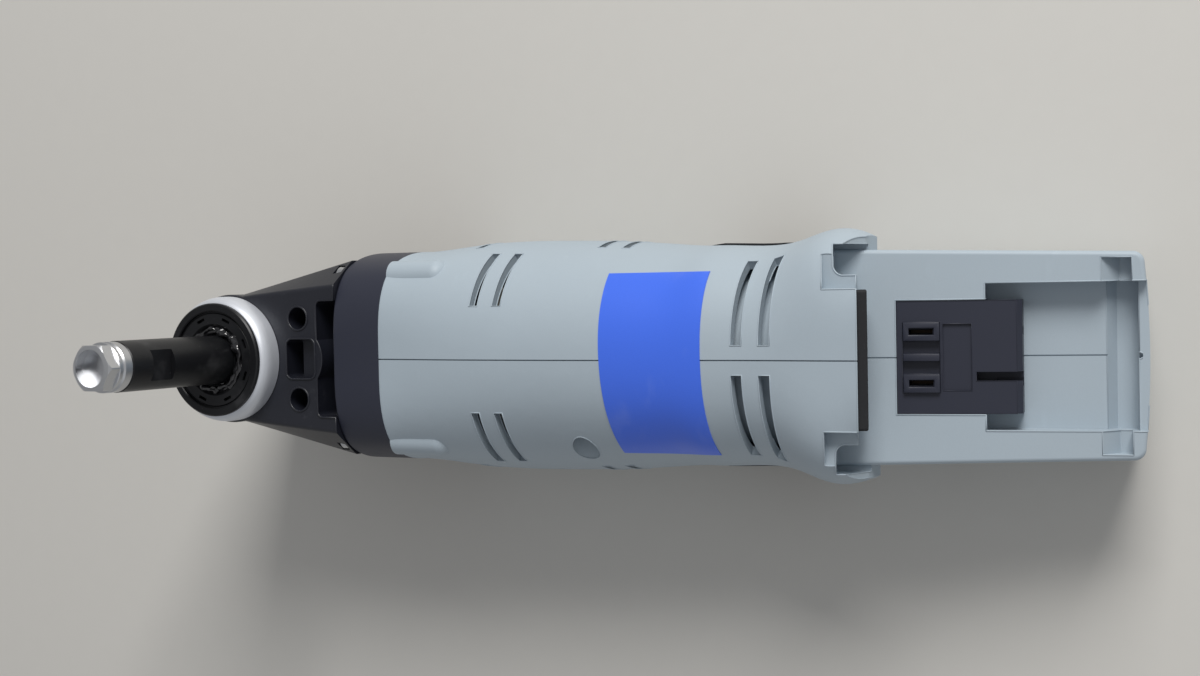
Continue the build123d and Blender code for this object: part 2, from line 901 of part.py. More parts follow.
# Cast gear case: tapered body, upright nose, rear spigot, bores and casting recesses
with BuildPart() as gear_case:
    for end, station in ((0, case_front), (1, band_front)):
        with BuildSketch(across(station)):
            with BuildLine():
                Polyline(*case_corners(end), close=True)
            make_face()
    loft(ruled=True)
    long_edges = gear_case.edges().filter_by(lambda edge: abs(edge.tangent_at(0.5).X) > 0.7)
    low_edges = long_edges.filter_by(lambda edge: edge.center().Z < z_of(0))
    high_edges = long_edges.filter_by(lambda edge: edge.center().Z > z_of(0))
    fillet(low_edges, 5.0)
    fillet(high_edges, 1.6)
    add(case_nose.part)
    with BuildSketch(across(band_front - 1)):
        Circle(spigot_r)
    extrude(amount=spigot_rear - band_front + 1)
    # Chamber and seats of the spindle
    with BuildSketch(level(spindle_chamber_floor)):
        Circle(spindle_chamber_r)
    extrude(amount=neck_spigot_low - spindle_chamber_floor + 1, mode=Mode.SUBTRACT)
    with BuildSketch(level(neck_spigot_low)):
        Circle(neck_spigot_r + fit_gap)
    extrude(amount=case_top - neck_spigot_low, mode=Mode.SUBTRACT)
    with BuildSketch(level(bush_low)):
        Circle(bush_r)
    extrude(amount=bush_length + 1, mode=Mode.SUBTRACT)
    # Tunnel of the fork and the seat of the front rotor bearing
    with BuildSketch(across(0)):
        Circle(tunnel_r)
    extrude(amount=tunnel_rear, mode=Mode.SUBTRACT)
    with BuildSketch(across(tunnel_rear - 1)):
        Circle(front_bearing_r - 1.5)
    extrude(amount=spigot_rear, mode=Mode.SUBTRACT)
    with BuildSketch(across(front_bearing_front)):
        Circle(front_bearing_r)
    extrude(amount=spigot_rear, mode=Mode.SUBTRACT)
    # Round recesses, centre pocket and wide trench in the top
    with BuildSketch(level(case_top, dimple_place[0])):
        with Locations((0, dimple_place[1]), (0, -dimple_place[1])):
            Circle(dimple_r)
    extrude(amount=-dimple_depth, mode=Mode.SUBTRACT)
    with BuildSketch(level(case_top, (pocket_front + pocket_rear) / 2)):
        RectangleRounded(pocket_rear - pocket_front, 2 * pocket_half, 2.2)
    extrude(amount=-pocket_shallow, mode=Mode.SUBTRACT)
    with BuildSketch(level(case_top, (pocket_front + pocket_step) / 2)):
        RectangleRounded(pocket_step - pocket_front, 2 * pocket_half - 1, 1.2)
    extrude(amount=-pocket_deep, mode=Mode.SUBTRACT)
    with BuildSketch(level(case_top, (trench_front + trench_rear) / 2)):
        RectangleRounded(trench_rear - trench_front, 2 * trench_half, 1.8)
        with Locations((pocket_rear - trench_bulge_r + 2.6 - (trench_front + trench_rear) / 2, 0)):
            Circle(trench_bulge_r, mode=Mode.SUBTRACT)
    extrude(amount=-trench_depth, mode=Mode.SUBTRACT)
    # Screw passages, with a channel for each head
    with BuildSketch(across(case_screw_seat - case_screw_channel)):
        for place_y, height in case_screw_places:
            with Locations((place_y, height), (-place_y, height)):
                Circle(case_screw_head_r + 0.4)
    extrude(amount=case_screw_channel, mode=Mode.SUBTRACT)
    with BuildSketch(across(case_screw_seat - 1)):
        for place_y, height in case_screw_places:
            with Locations((place_y, height), (-place_y, height)):
                Circle(case_screw_r + hole_clearance)
    extrude(amount=12, mode=Mode.SUBTRACT)
keep(gear_case.part, "gear_case")

with BuildPart() as gear_case_screws:
    for place_y, height in case_screw_places:
        for sign in (1, -1):
            with BuildSketch(across(case_screw_seat - case_screw_head)):
                with Locations((sign * place_y, height)):
                    Circle(case_screw_head_r)
            extrude(amount=case_screw_head)
            with BuildSketch(across(case_screw_seat)):
                with Locations((sign * place_y, height)):
                    Circle(case_screw_r)
            extrude(amount=case_screw_rear - case_screw_seat - 0.5)
            with BuildSketch(across(case_screw_seat - case_screw_head)):
                with Locations((sign * place_y, height)):
                    RegularPolygon(case_screw_r * 0.8, 6)
            extrude(amount=case_screw_head * 0.6, mode=Mode.SUBTRACT)
keep(gear_case_screws.part, "gear_case_screws")


def turned(points):
    """Solid turned about the spindle's axis from radius and height points."""
    with BuildPart() as solid:
        with BuildSketch(side):
            with BuildLine():
                Polyline(*points, close=True)
            make_face()
        revolve(axis=Axis((spindle_x, 0, 0), (0, 0, 1)))
    return solid.part


def turned_along(points):
    """Solid turned about the body axis from station and radius points."""
    with BuildPart() as solid:
        with BuildSketch(side):
            with BuildLine():
                Polyline(*points, close=True)
            make_face()
        revolve(axis=Axis((spindle_x, 0, axis_height), (1, 0, 0)))
    return solid.part


# Neck: bright turned collar whose spigot sits in the gear case
clamping_neck = turned([
    (upper_bearing_r - 1.8, neck_spigot_low),
    (neck_spigot_r, neck_spigot_low),
    (neck_spigot_r, case_top),
    (neck_r, case_top),
    (neck_r, case_top + neck_straight),
    (neck_top_r, neck_top),
    (nut_r + fit_gap, neck_top),
    (nut_r + fit_gap, upper_bearing_top),
    (upper_bearing_r, upper_bearing_top),
    (upper_bearing_r, upper_bearing_low),
    (upper_bearing_r - 1.8, upper_bearing_low),
])
keep(clamping_neck, "clamping_neck")

rim_ring = turned([
    (nut_r + fit_gap, neck_top),
    (rim_r, neck_top),
    (rim_r, rim_top - 0.4),
    (rim_r - 0.4, rim_top),
    (rim_bore_r + 0.3, rim_top),
    (rim_bore_r, rim_top - 0.3),
    (rim_bore_r, neck_top + rim_lip),
    (nut_r + fit_gap, neck_top + rim_lip),
])
keep(rim_ring, "rim_ring")

with BuildPart() as slotted_nut:
    add(turned([
        (nut_bore_r, upper_bearing_top),
        (nut_r, upper_bearing_top),
        (nut_r, nut_top - 0.3),
        (nut_r - 0.3, nut_top),
        (nut_bore_r + 0.9, nut_top),
        (nut_bore_r, nut_top - 0.9),
    ]))
    with BuildSketch(level(nut_top)):
        with PolarLocations(nut_slot_r, 8, start_angle=22.5):
            Rectangle(nut_slot_wide, nut_slot_long)
    extrude(amount=-1.4, mode=Mode.SUBTRACT)
keep(slotted_nut.part, "slotted_nut")

spindle_seal = turned([
    (spindle_r + seal_gap, upper_bearing_top + 0.4),
    (nut_bore_r, upper_bearing_top + 0.4),
    (nut_bore_r, upper_bearing_top + 0.4 + seal_thick),
    (spindle_r + seal_gap + 0.8, upper_bearing_top + 0.4 + seal_thick),
    (spindle_r + seal_gap, upper_bearing_top + seal_thick - 0.2),
])
keep(spindle_seal, "spindle_seal")

# Open ball bearing at the spindle's upper end
race_middle = upper_bearing_low + upper_bearing_width / 2
ball_track_r = (upper_bearing_r + spindle_r) / 2
with BuildPart() as race_groove:
    with BuildSketch(side):
        with Locations((ball_track_r, race_middle)):
            Circle(ball_r + race_gap)
    revolve(axis=Axis((spindle_x, 0, 0), (0, 0, 1)))
with BuildPart() as upper_bearing_outer:
    add(ring(level(upper_bearing_low), upper_bearing_r, ball_track_r + ball_r * 0.6, upper_bearing_width))
    add(race_groove.part, mode=Mode.SUBTRACT)
keep(upper_bearing_outer.part, "upper_bearing_outer")
with BuildPart() as upper_bearing_inner:
    add(ring(level(upper_bearing_low), ball_track_r - ball_r * 0.6, spindle_r, upper_bearing_width))
    add(race_groove.part, mode=Mode.SUBTRACT)
keep(upper_bearing_inner.part, "upper_bearing_inner")
with BuildPart() as bearing_balls:
    with Locations(level(race_middle)):
        with PolarLocations(ball_track_r, ball_count):
            Sphere(ball_r)
keep(bearing_balls.part, "bearing_balls")

lower_spindle_bush = ring(level(bush_low), bush_r, spindle_foot_r + running_gap, bush_length)
keep(lower_spindle_bush, "lower_spindle_bush")

# Spindle: shaft with two wrench flats, a foot journal and a threaded end
with BuildPart() as spindle:
    add(turned([
        (0, spindle_foot),
        (spindle_foot_r, spindle_foot),
        (spindle_foot_r, fork_low - 1.5),
        (spindle_r, fork_low - 1.5),
        (spindle_r, throw_groove[0]),
        (spindle_r - throw_groove_depth, throw_groove[0]),
        (spindle_r - throw_groove_depth, throw_groove[1]),
        (spindle_r, throw_groove[1]),
        (spindle_r, spindle_top - 0.5),
        (spindle_r - 0.5, spindle_top),
        (0, spindle_top),
    ]))
    with BuildSketch(level(flat_low)):
        with Locations((flat_across / 2 + spindle_r, 0), (-flat_across / 2 - spindle_r, 0)):
            Rectangle(2 * spindle_r, 4 * spindle_r)
    extrude(amount=flat_high - flat_low, mode=Mode.SUBTRACT)
    with BuildSketch(level(spindle_top)):
        Circle(spindle_hole_r)
    extrude(amount=-spindle_hole_depth, mode=Mode.SUBTRACT)
keep(spindle.part, "spindle")

# Fork lever: hub on the spindle and two arms beside the eccentric's bearing
with BuildPart() as fork_lever:
    with BuildSketch(level(fork_low)):
        Circle(fork_hub_r)
    extrude(amount=fork_hub_height)
    with BuildSketch(level(-fork_arm_height / 2)):
        for sign in (1, -1):
            with BuildLine():
                Polyline(
                    (fork_hub_r * 0.45, sign * fork_hub_r * 0.85),
                    (eccentric_station - 5, sign * (fork_gap + fork_arm)),
                    (fork_rear, sign * (fork_gap + fork_arm)),
                    (fork_rear, sign * fork_gap),
                    (eccentric_station - 7, sign * fork_gap),
                    (fork_hub_r * 0.6, sign * fork_hub_r * 0.5),
                    close=True,
                )
            make_face()
    extrude(amount=fork_arm_height)
    with BuildSketch(level(fork_low)):
        Circle(spindle_r)
    extrude(amount=fork_hub_height, mode=Mode.SUBTRACT)
keep(fork_lever.part, "fork_lever")

# Washers and the hexagon screw at the spindle's end
clamp_washer = turned([
    (clamp_screw_r + 0.2, spindle_top),
    (washer_r, spindle_top),
    (washer_r, spindle_top + washer_thick - 0.5),
    (washer_r - 0.5, spindle_top + washer_thick),
    (clamp_screw_r + 0.2, spindle_top + washer_thick),
])
keep(clamp_washer, "clamp_washer")
with BuildPart() as spring_washer:
    add(ring(level(spindle_top + washer_thick), spring_washer_r, clamp_screw_r + 0.3, spring_washer_thick))
    with BuildSketch(level(spindle_top + washer_thick)):
        with Locations((0, spring_washer_r)):
            Rectangle(1.0, spring_washer_r)
    extrude(amount=spring_washer_thick, mode=Mode.SUBTRACT)
keep(spring_washer.part, "spring_washer")
head_low = spindle_top + washer_thick + spring_washer_thick
with BuildPart() as clamp_screw:
    with BuildSketch(level(head_low)):
        Circle(flange_r)
    extrude(amount=flange_thick)
    with BuildSketch(level(head_low + flange_thick)):
        RegularPolygon(hex_across / 2, 6, major_radius=False)
    extrude(amount=hex_height)
    add(
        turned([
            (0, head_low - 1),
            (hex_corner_r, head_low - 1),
            (hex_corner_r, head_low + flange_thick + hex_height - hex_crown),
            (hex_across / 2 - 0.25, head_low + flange_thick + hex_height),
            (0, head_low + flange_thick + hex_height),
        ]),
        mode=Mode.INTERSECT,
    )
    with BuildSketch(level(head_low)):
        Circle(clamp_screw_r)
    extrude(amount=-clamp_screw_length)
keep(clamp_screw.part, "clamp_screw")

# Rotor: shaft with its eccentric pin, balance weight, fan, core, windings and commutator
with BuildPart() as rotor_shaft:
    add(turned_along([
        (eccentric_pin_rear, 0),
        (eccentric_pin_rear, shaft_r),
        (commutator_front + commutator_length, shaft_r),
        (commutator_front + commutator_length, shaft_rear_r),
        (rear_bearing_front + rear_bearing_width, shaft_rear_r),
        (rear_bearing_front + rear_bearing_width, 0),
    ]))
    with BuildSketch(across(eccentric_pin_front)):
        with Locations((0, eccentric_throw)):
            Circle(eccentric_pin_r)
    extrude(amount=eccentric_pin_rear - eccentric_pin_front)
keep(rotor_shaft.part, "rotor_shaft")

with BuildPart() as eccentric_bearing:
    with BuildSketch(across(eccentric_station - eccentric_bearing_width / 2)):
        with Locations((0, eccentric_throw)):
            Circle(eccentric_bearing_r)
            Circle(eccentric_pin_r, mode=Mode.SUBTRACT)
    extrude(amount=eccentric_bearing_width)
    with BuildSketch(across(eccentric_station + eccentric_bearing_width / 2)):
        with Locations((0, eccentric_throw)):
            Circle(eccentric_bearing_r - 1.4)
            Circle(eccentric_pin_r + 1.2, mode=Mode.SUBTRACT)
    extrude(amount=-0.6, mode=Mode.SUBTRACT)
keep(eccentric_bearing.part, "eccentric_bearing")

with BuildPart() as balance_weight:
    with BuildSketch(across(weight_front)):
        Circle(weight_r)
        with Locations((0, weight_r)):
            Rectangle(2 * weight_r, 2 * weight_r - 2 * shaft_r, mode=Mode.SUBTRACT)
        Circle(shaft_r + 2.2)
        Circle(shaft_r, mode=Mode.SUBTRACT)
    extrude(amount=weight_thick)
keep(balance_weight.part, "balance_weight")


def shielded_bearing(front, width, outer, bore):
    """Outer ring with its shields, and inner ring, of a small bearing on the body axis."""
    step = (outer - bore) * 0.3
    outer_ring = turned_along([
        (front, bore + step + race_gap),
        (front, outer),
        (front + width, outer),
        (front + width, bore + step + race_gap),
        (front + width - 0.7, bore + step + race_gap),
        (front + width - 0.7, outer - step),
        (front + 0.7, outer - step),
        (front + 0.7, bore + step + race_gap),
    ])
    inner_ring = turned_along([
        (front, bore),
        (front, bore + step),
        (front + width, bore + step),
        (front + width, bore),
    ])
    return outer_ring, inner_ring


front_outer, front_inner = shielded_bearing(front_bearing_front, front_bearing_width, front_bearing_r, shaft_r)
keep(front_outer, "front_rotor_bearing")
keep(front_inner, "front_bearing_inner")
rear_outer, rear_inner = shielded_bearing(rear_bearing_front, rear_bearing_width, rear_bearing_r, shaft_rear_r)
keep(rear_outer, "rear_rotor_bearing")
keep(rear_inner, "rear_bearing_inner")

with BuildPart() as cooling_fan:
    with BuildSketch(across(fan_front)):
        Circle(fan_r)
    extrude(amount=fan_disc)
    with BuildSketch(across(fan_front)):
        Circle(fan_hub_r)
    extrude(amount=fan_disc + fan_blade)
    with BuildSketch(across(fan_front + fan_disc)):
        with PolarLocations(0, fan_blades):
            with Locations(Location((fan_r * 0.68, 2.0, 0), 12)):
                Rectangle(fan_r * 0.58, 1.1)
    extrude(amount=fan_blade)
    with BuildSketch(across(fan_front)):
        Circle(shaft_r)
    extrude(amount=fan_disc + fan_blade, mode=Mode.SUBTRACT)
keep(cooling_fan.part, "cooling_fan")

with BuildPart() as rotor_core:
    with BuildSketch(across(core_front)):
        Circle(core_r)
        with PolarLocations(core_r * 0.66, core_slots):
            Circle(2.3, mode=Mode.SUBTRACT)
            with Locations((core_r * 0.3, 0)):
                Rectangle(core_r * 0.5, 1.8, mode=Mode.SUBTRACT)
        Circle(shaft_r, mode=Mode.SUBTRACT)
    extrude(amount=core_length)
keep(rotor_core.part, "rotor_core")

with BuildPart() as rotor_windings:
    for front in (core_front - winding_long, core_front + core_length):
        with BuildSketch(across(front)):
            Circle(core_r - 1.5)
            Circle(shaft_r, mode=Mode.SUBTRACT)
        extrude(amount=winding_long)
    fillet(rotor_windings.edges().filter_by(GeomType.CIRCLE).filter_by(lambda edge: edge.radius > shaft_r + 1), 0.9)
keep(rotor_windings.part, "rotor_windings")

with BuildPart() as commutator:
    with BuildSketch(across(commutator_front)):
        Circle(commutator_r)
        Circle(shaft_r, mode=Mode.SUBTRACT)
        with PolarLocations(commutator_r, commutator_bars):
            Rectangle(1.2, 0.5, mode=Mode.SUBTRACT)
    extrude(amount=commutator_length)
keep(commutator.part, "commutator")

# Motor can, magnets and end bell with the brush gear
motor_can = turned_along([
    (can_front, shaft_r + 1.6),
    (can_front, can_r),
    (can_rear, can_r),
    (can_rear, can_r - can_wall),
    (can_front + can_wall, can_r - can_wall),
    (can_front + can_wall, shaft_r + 1.6),
])
keep(motor_can, "motor_can")

with BuildPart() as motor_magnets:
    with BuildSketch(across(core_front - 1)):
        Circle(can_r - can_wall)
        Circle(can_r - can_wall - magnet_thick, mode=Mode.SUBTRACT)
        Rectangle(2 * can_r, 2 * magnet_gap_half, mode=Mode.SUBTRACT)
    extrude(amount=core_length + 2)
keep(motor_magnets.part, "motor_magnets")

with BuildPart() as motor_end_bell:
    add(turned_along([
        (can_rear, commutator_r + 3),
        (can_rear, can_r),
        (bell_rear, can_r),
        (bell_rear, rear_bearing_r - 2),
        (bell_rear - bell_wall, rear_bearing_r - 2),
        (bell_rear - bell_wall, rear_bearing_r),
        (rear_bearing_front, rear_bearing_r),
        (rear_bearing_front, rear_bearing_r + bell_wall),
        (bell_rear - bell_wall, rear_bearing_r + bell_wall),
        (bell_rear - bell_wall, can_r - bell_wall),
        (can_rear + bell_wall, can_r - bell_wall),
        (can_rear + bell_wall, commutator_r + 3),
    ]))
    with BuildSketch(across(bell_rear)):
        with PolarLocations((can_r + rear_bearing_r) / 2, 6, start_angle=30):
            Circle(3.0)
    extrude(amount=-bell_wall, mode=Mode.SUBTRACT)
    with BuildSketch(side.offset(commutator_r + 2)):
        with Locations((brush_station, 0)):
            Rectangle(brush_long + 2.4, brush_width + 2.4)
    extrude(amount=brush_outer + 2 - commutator_r - 2)
    with BuildSketch(side.offset(-commutator_r - 2)):
        with Locations((brush_station, 0)):
            Rectangle(brush_long + 2.4, brush_width + 2.4)
    extrude(amount=-(brush_outer + 2 - commutator_r - 2))
    with BuildSketch(side):
        with Locations((brush_station, 0)):
            Rectangle(brush_long + 0.2, brush_width + 0.2)
    extrude(amount=brush_outer + 1.2, both=True, mode=Mode.SUBTRACT)
keep(motor_end_bell.part, "motor_end_bell")

with BuildPart() as brushes:
    for sign in (1, -1):
        with BuildSketch(side.offset(sign * (commutator_r + brush_gap))):
            with Locations((brush_station, 0)):
                Rectangle(brush_long, brush_width)
        extrude(amount=sign * (brush_outer - 2.4 - commutator_r - brush_gap))
keep(brushes.part, "brushes")

with BuildPart() as brush_springs:
    for sign in (1, -1):
        for turn in range(4):
            with BuildSketch(side.offset(sign * (brush_outer - 2.4 + 0.9 * turn))):
                with Locations((brush_station, 0)):
                    Circle(1.7 - 0.15 * (turn % 2))
                    Circle(1.0, mode=Mode.SUBTRACT)
            extrude(amount=sign * 0.9)
keep(brush_springs.part, "brush_springs")

# Slide switch on the back: slider, link and switch
with BuildPart() as switch_slider:
    with BuildSketch(level(slider_outer)):
        with Locations((slider_station, 0)):
            RectangleRounded(slider_length, slider_width, 2.6)
    extrude(amount=slider_thick)
    chamfer(switch_slider.faces().sort_by(Axis.Z)[0].edges(), 0.5)
    with BuildSketch(level(slider_outer)):
        with Locations((slider_station, 0)):
            with GridLocations(2.2, 0, 5, 1):
                Rectangle(0.9, slider_width - 3.0)
    extrude(amount=0.6, mode=Mode.SUBTRACT)
    with BuildSketch(level(slider_outer + slider_thick)):
        with Locations((slider_station, 0)):
            RectangleRounded(stem_length, stem_width, 1.2)
    extrude(amount=rod_low - slider_outer - slider_thick)
keep(switch_slider.part, "switch_slider")

with BuildPart() as switch_rod:
    with BuildSketch(level(rod_low)):
        with Locations(((slider_station - stem_length / 2 + rod_rear) / 2, 0)):
            Rectangle(rod_rear - slider_station + stem_length / 2, rod_width)
    extrude(amount=rod_thick)
keep(switch_rod.part, "switch_rod")

with BuildPart() as switch_module:
    with BuildSketch(level(switch_low)):
        with Locations(((switch_front + switch_rear) / 2, 0)):
            Rectangle(switch_rear - switch_front, 2 * switch_half)
    extrude(amount=switch_high - switch_low)
    fillet(switch_module.edges().filter_by(Axis.Z), 1.0)
    with BuildSketch(level(rod_low - slot_clearance)):
        with Locations(((switch_front + rod_rear + 1) / 2, 0)):
            Rectangle(rod_rear + 1 - switch_front, rod_width + 2 * slot_clearance)
    extrude(amount=rod_thick + 2 * slot_clearance, mode=Mode.SUBTRACT)
keep(switch_module.part, "switch_module")

# Contact block of the battery tray
with BuildPart() as contact_block:
    add(deck_box(block_front, block_rear, -block_half, block_half, block_sink, tray_floor))
    rear_top = contact_block.faces().sort_by(Axis.X)[-1].edges().sort_by(Axis.Z)[-1]
    chamfer(rear_top, 1.4)
    add(deck_box(
        block_stem_front, block_stem_rear, -block_stem_half, block_stem_half, tray_floor - 1, block_stem_low
    ))
    add(
        deck_box(block_well[0], block_well[1], -block_well[2], block_well[2], -1, block_sink + 1.2),
        mode=Mode.SUBTRACT,
    )
    add(
        deck_box(block_panel[0], block_panel[1], -block_panel[2], block_panel[2], -1, block_sink + 0.6),
        mode=Mode.SUBTRACT,
    )
    for middle, half in ((frame_y, frame_half), (-frame_y, frame_half), (0, 0.95)):
        add(deck_box(block_well[0] + 0.3, block_well[1] - 0.3, middle - half, middle + half, block_sink - 0.3, 4))
    for middle in (frame_y, -frame_y):
        add(
            deck_box(frame_hole[0], frame_hole[1], middle - frame_hole[2], middle + frame_hole[2], -2, tab_low),
            mode=Mode.SUBTRACT,
        )
        add(
            deck_box(block_rear - 7, block_rear + 1, middle - 1.1, middle + 1.1, 2.6, tray_floor - 1),
            mode=Mode.SUBTRACT,
        )
    add(
        deck_box(key_slot[0], block_rear + 1, key_slot[1] - key_slot[2], key_slot[1] + key_slot[2], -2, 5.5),
        mode=Mode.SUBTRACT,
    )
keep(contact_block.part, "contact_block")

with BuildPart() as contact_tabs:
    for middle in (frame_y, -frame_y):
        add(deck_box(
            frame_hole[0] + 0.4, frame_hole[1] - 0.4, middle - tab_thick / 2, middle + tab_thick / 2, tab_high, tab_low
        ))
keep(contact_tabs.part, "contact_tabs")

# Control board on its four posts, and what it carries
with BuildPart() as control_board:
    with BuildSketch(level(board_height)):
        with Locations(((board_front + board_rear) / 2, 0)):
            RectangleRounded(board_rear - board_front, 2 * board_half, 1.0)
    extrude(amount=board_thick)
keep(control_board.part, "control_board")

board_top = board_height + board_thick
with BuildPart() as board_parts:
    with BuildSketch(level(board_top)):
        with Locations((board_rear - 15, 8), (board_rear - 15, -8)):
            Circle(4.0)
    extrude(amount=7.0)
    with BuildSketch(level(board_top)):
        with Locations((board_rear - 6, 0)):
            Rectangle(4.5, 24)
    extrude(amount=5.0)
    with BuildSketch(level(board_top)):
        with Locations((board_front + 8, 13)):
            Rectangle(8, 6)
    extrude(amount=2.2)
keep(board_parts.part, "board_parts")


def wire(points, place_y):
    """Round lead along stations and heights, at one distance from the middle plane."""
    route = [(x_of(station), place_y, z_of(height)) for station, height in points]
    with BuildPart() as lead:
        with BuildLine() as path:
            FilletPolyline(*route, radius=lead_bend)
        with BuildSketch(Plane(origin=path.line @ 0, z_dir=path.line % 0)):
            Circle(lead_r)
        sweep()
    return lead.part


motor_lead_route = [
    (board_front + 3, board_top),
    (board_front + 3, board_top + 6.5),
    (switch_rear - 2, board_top + 7.5),
    (switch_front - 4, -3.0),
    (bell_rear + 6, 2.0),
    (bell_rear, 2.0),
]
with BuildPart() as motor_leads:
    for place_y in (-9.5, 9.5):
        add(wire(motor_lead_route, place_y))
keep(motor_leads.part, "motor_leads")

switch_lead_route = [
    (switch_rear, switch_high - 3.5),
    (switch_rear + 4, switch_high - 3.5),
    (board_front - 4.5, board_height + board_thick / 2),
    (board_front, board_height + board_thick / 2),
]
with BuildPart() as switch_leads:
    for place_y in (-3.0, 3.0):
        add(wire(switch_lead_route, place_y))
keep(switch_leads.part, "switch_leads")
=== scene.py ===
import json
import math

import bpy
from bpy.props import FloatProperty, FloatVectorProperty, PointerProperty
from mathutils import Matrix, Vector


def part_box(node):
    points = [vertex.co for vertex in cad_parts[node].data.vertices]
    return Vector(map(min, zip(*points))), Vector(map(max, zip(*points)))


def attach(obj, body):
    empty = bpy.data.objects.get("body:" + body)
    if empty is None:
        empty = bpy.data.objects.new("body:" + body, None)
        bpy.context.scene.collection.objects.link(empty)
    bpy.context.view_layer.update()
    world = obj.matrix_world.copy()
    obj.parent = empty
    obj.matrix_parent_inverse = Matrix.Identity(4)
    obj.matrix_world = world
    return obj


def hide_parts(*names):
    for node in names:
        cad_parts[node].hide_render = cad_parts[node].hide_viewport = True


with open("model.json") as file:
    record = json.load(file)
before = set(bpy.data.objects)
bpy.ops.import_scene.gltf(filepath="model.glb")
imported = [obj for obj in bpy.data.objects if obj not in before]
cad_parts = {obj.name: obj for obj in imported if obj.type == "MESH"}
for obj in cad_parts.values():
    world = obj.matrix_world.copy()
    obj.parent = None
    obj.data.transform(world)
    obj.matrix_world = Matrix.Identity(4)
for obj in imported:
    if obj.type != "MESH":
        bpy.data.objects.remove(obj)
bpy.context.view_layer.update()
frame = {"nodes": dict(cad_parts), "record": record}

bl_info = {
    "name": "Cast saw, dressed",
    "version": (1, 0, 0),
    "blender": (4, 5, 0),
    "location": "3D View > Sidebar > Cast saw",
    "description": "Finishes, small fittings and studio for a cordless oscillating cast saw",
    "category": "Object",
}

nodes = frame["nodes"]

# Places are in metres, except the deck's start behind the spindle and its height above the body axis,
# which are in millimetres, as every size in the operators is.
MM = 0.001
SPINDLE_X = -0.1268
AXIS_Z = 0.035
DECK_START = 207.0
DECK_HEIGHT = 12.1
DECK_SLOPE = math.radians(12)
DECK = (
    Matrix.Translation((SPINDLE_X + DECK_START * MM, 0, AXIS_Z + DECK_HEIGHT * MM))
    @ Matrix.Rotation(DECK_SLOPE, 4, "Y")
)
SMOOTH_BELOW = math.radians(35)
# Radius of a turned shape's ends, small enough to close them.
ON_AXIS = 0.001
LAMP_AIM = Vector((0, 0, 0.03))
PICTURE_MIDDLE = Vector((-0.01212, 0, AXIS_Z))


def paint(red, green, blue):
    """Scene colour of a colour given in 0 to 255 display values."""
    def linear(value):
        share = value / 255
        return share / 12.92 if share <= 0.04045 else ((share + 0.055) / 1.055) ** 2.4
    return (linear(red), linear(green), linear(blue))


def colour(label, what, red, green, blue):
    """A colour that a user may change."""
    return FloatVectorProperty(
        name=label, description=what, subtype="COLOR", size=3, min=0, max=1, default=paint(red, green, blue)
    )


def length(label, what, metres):
    """A length that a user may change, in metres."""
    return FloatProperty(name=label, description=what, unit="LENGTH", precision=5, min=0, default=metres)


class ToolColours(bpy.types.PropertyGroup):
    """Colours of the saw's finishes."""
    shell_grey: colour("Shell grey", "Moulded plastic of the two shells", 170, 183, 193)
    casting_black: colour("Casting black", "Satin paint of the gear case", 27, 29, 38)
    band_black: colour("Band black", "Moulded plastic of band and contact block", 43, 46, 60)
    rubber_black: colour("Rubber black", "Grip saddle and bumper strip", 34, 35, 38)
    oxide_black: colour("Oxide black", "Spindle and rim ring", 26, 27, 30)
    film_blue: colour("Film blue", "Bare sticker on the upper side", 66, 112, 238)


class FittingSizes(bpy.types.PropertyGroup):
    """Sizes of the small fittings."""
    frame_rise: length("Frame height", "Height of the frames round the contact holes", 0.0011)
    frame_wall: length("Frame wall", "Wall of the frames round the contact holes", 0.0015)
    thread_pitch: length("Thread pitch", "Pitch of the clamp screw", 0.00125)


class StageSettings(bpy.types.PropertyGroup):
    """Floor, light and camera of the studio."""
    floor: colour("Floor", "Plain table top", 214, 212, 207)
    lens: FloatProperty(name="Lens", description="Focal length", unit="CAMERA", default=54, min=20)
    distance: length("Camera distance", "From the camera to the middle of the body", 0.5364)
    tilt: FloatProperty(
        name="Tilt", description="Angle between the spindle and the line of sight", subtype="ANGLE",
        default=math.radians(28.62),
    )
    lean: FloatProperty(
        name="Lean", description="Turn of the view about the body axis", subtype="ANGLE",
        default=math.radians(2.05),
    )
    turn: FloatProperty(
        name="Turn", description="Turn of the picture in its own plane", subtype="ANGLE",
        default=math.radians(-0.145),
    )
    rise: length("Rise", "Camera's shift along +Y", 0.00504)
    main_lamp: FloatProperty(
        name="Main lamp", description="Power of the window light", unit="POWER", default=24,
    )
    fill_lamp: FloatProperty(
        name="Fill lamp", description="Power of the fill light", unit="POWER", default=1.2,
    )
    room: FloatProperty(name="Room light", description="Strength of the room's own light", default=0.32)


class Value:
    """One value in a shader. Sums and products of values add Math nodes to its graph."""

    def __init__(self, graph, socket):
        self.graph = graph
        self.socket = socket

    def _maths(self, operation, first, second=0.0):
        return self.graph.add("ShaderNodeMath", {"operation": operation}, [first, second])

    def __add__(self, other):
        return self._maths("ADD", self, other)

    __radd__ = __add__

    def __mul__(self, other):
        return self._maths("MULTIPLY", self, other)

    __rmul__ = __mul__

    def __sub__(self, other):
        return self._maths("SUBTRACT", self, other)

    def __rsub__(self, other):
        return self._maths("SUBTRACT", other, self)

    def between(self, low, high):
        """0 at low, 1 at high, eased, and flat outside."""
        return self.graph.add(
            "ShaderNodeMapRange",
            {"interpolation_type": "SMOOTHSTEP"},
            {"Value": self, "From Min": low, "From Max": high},
        )


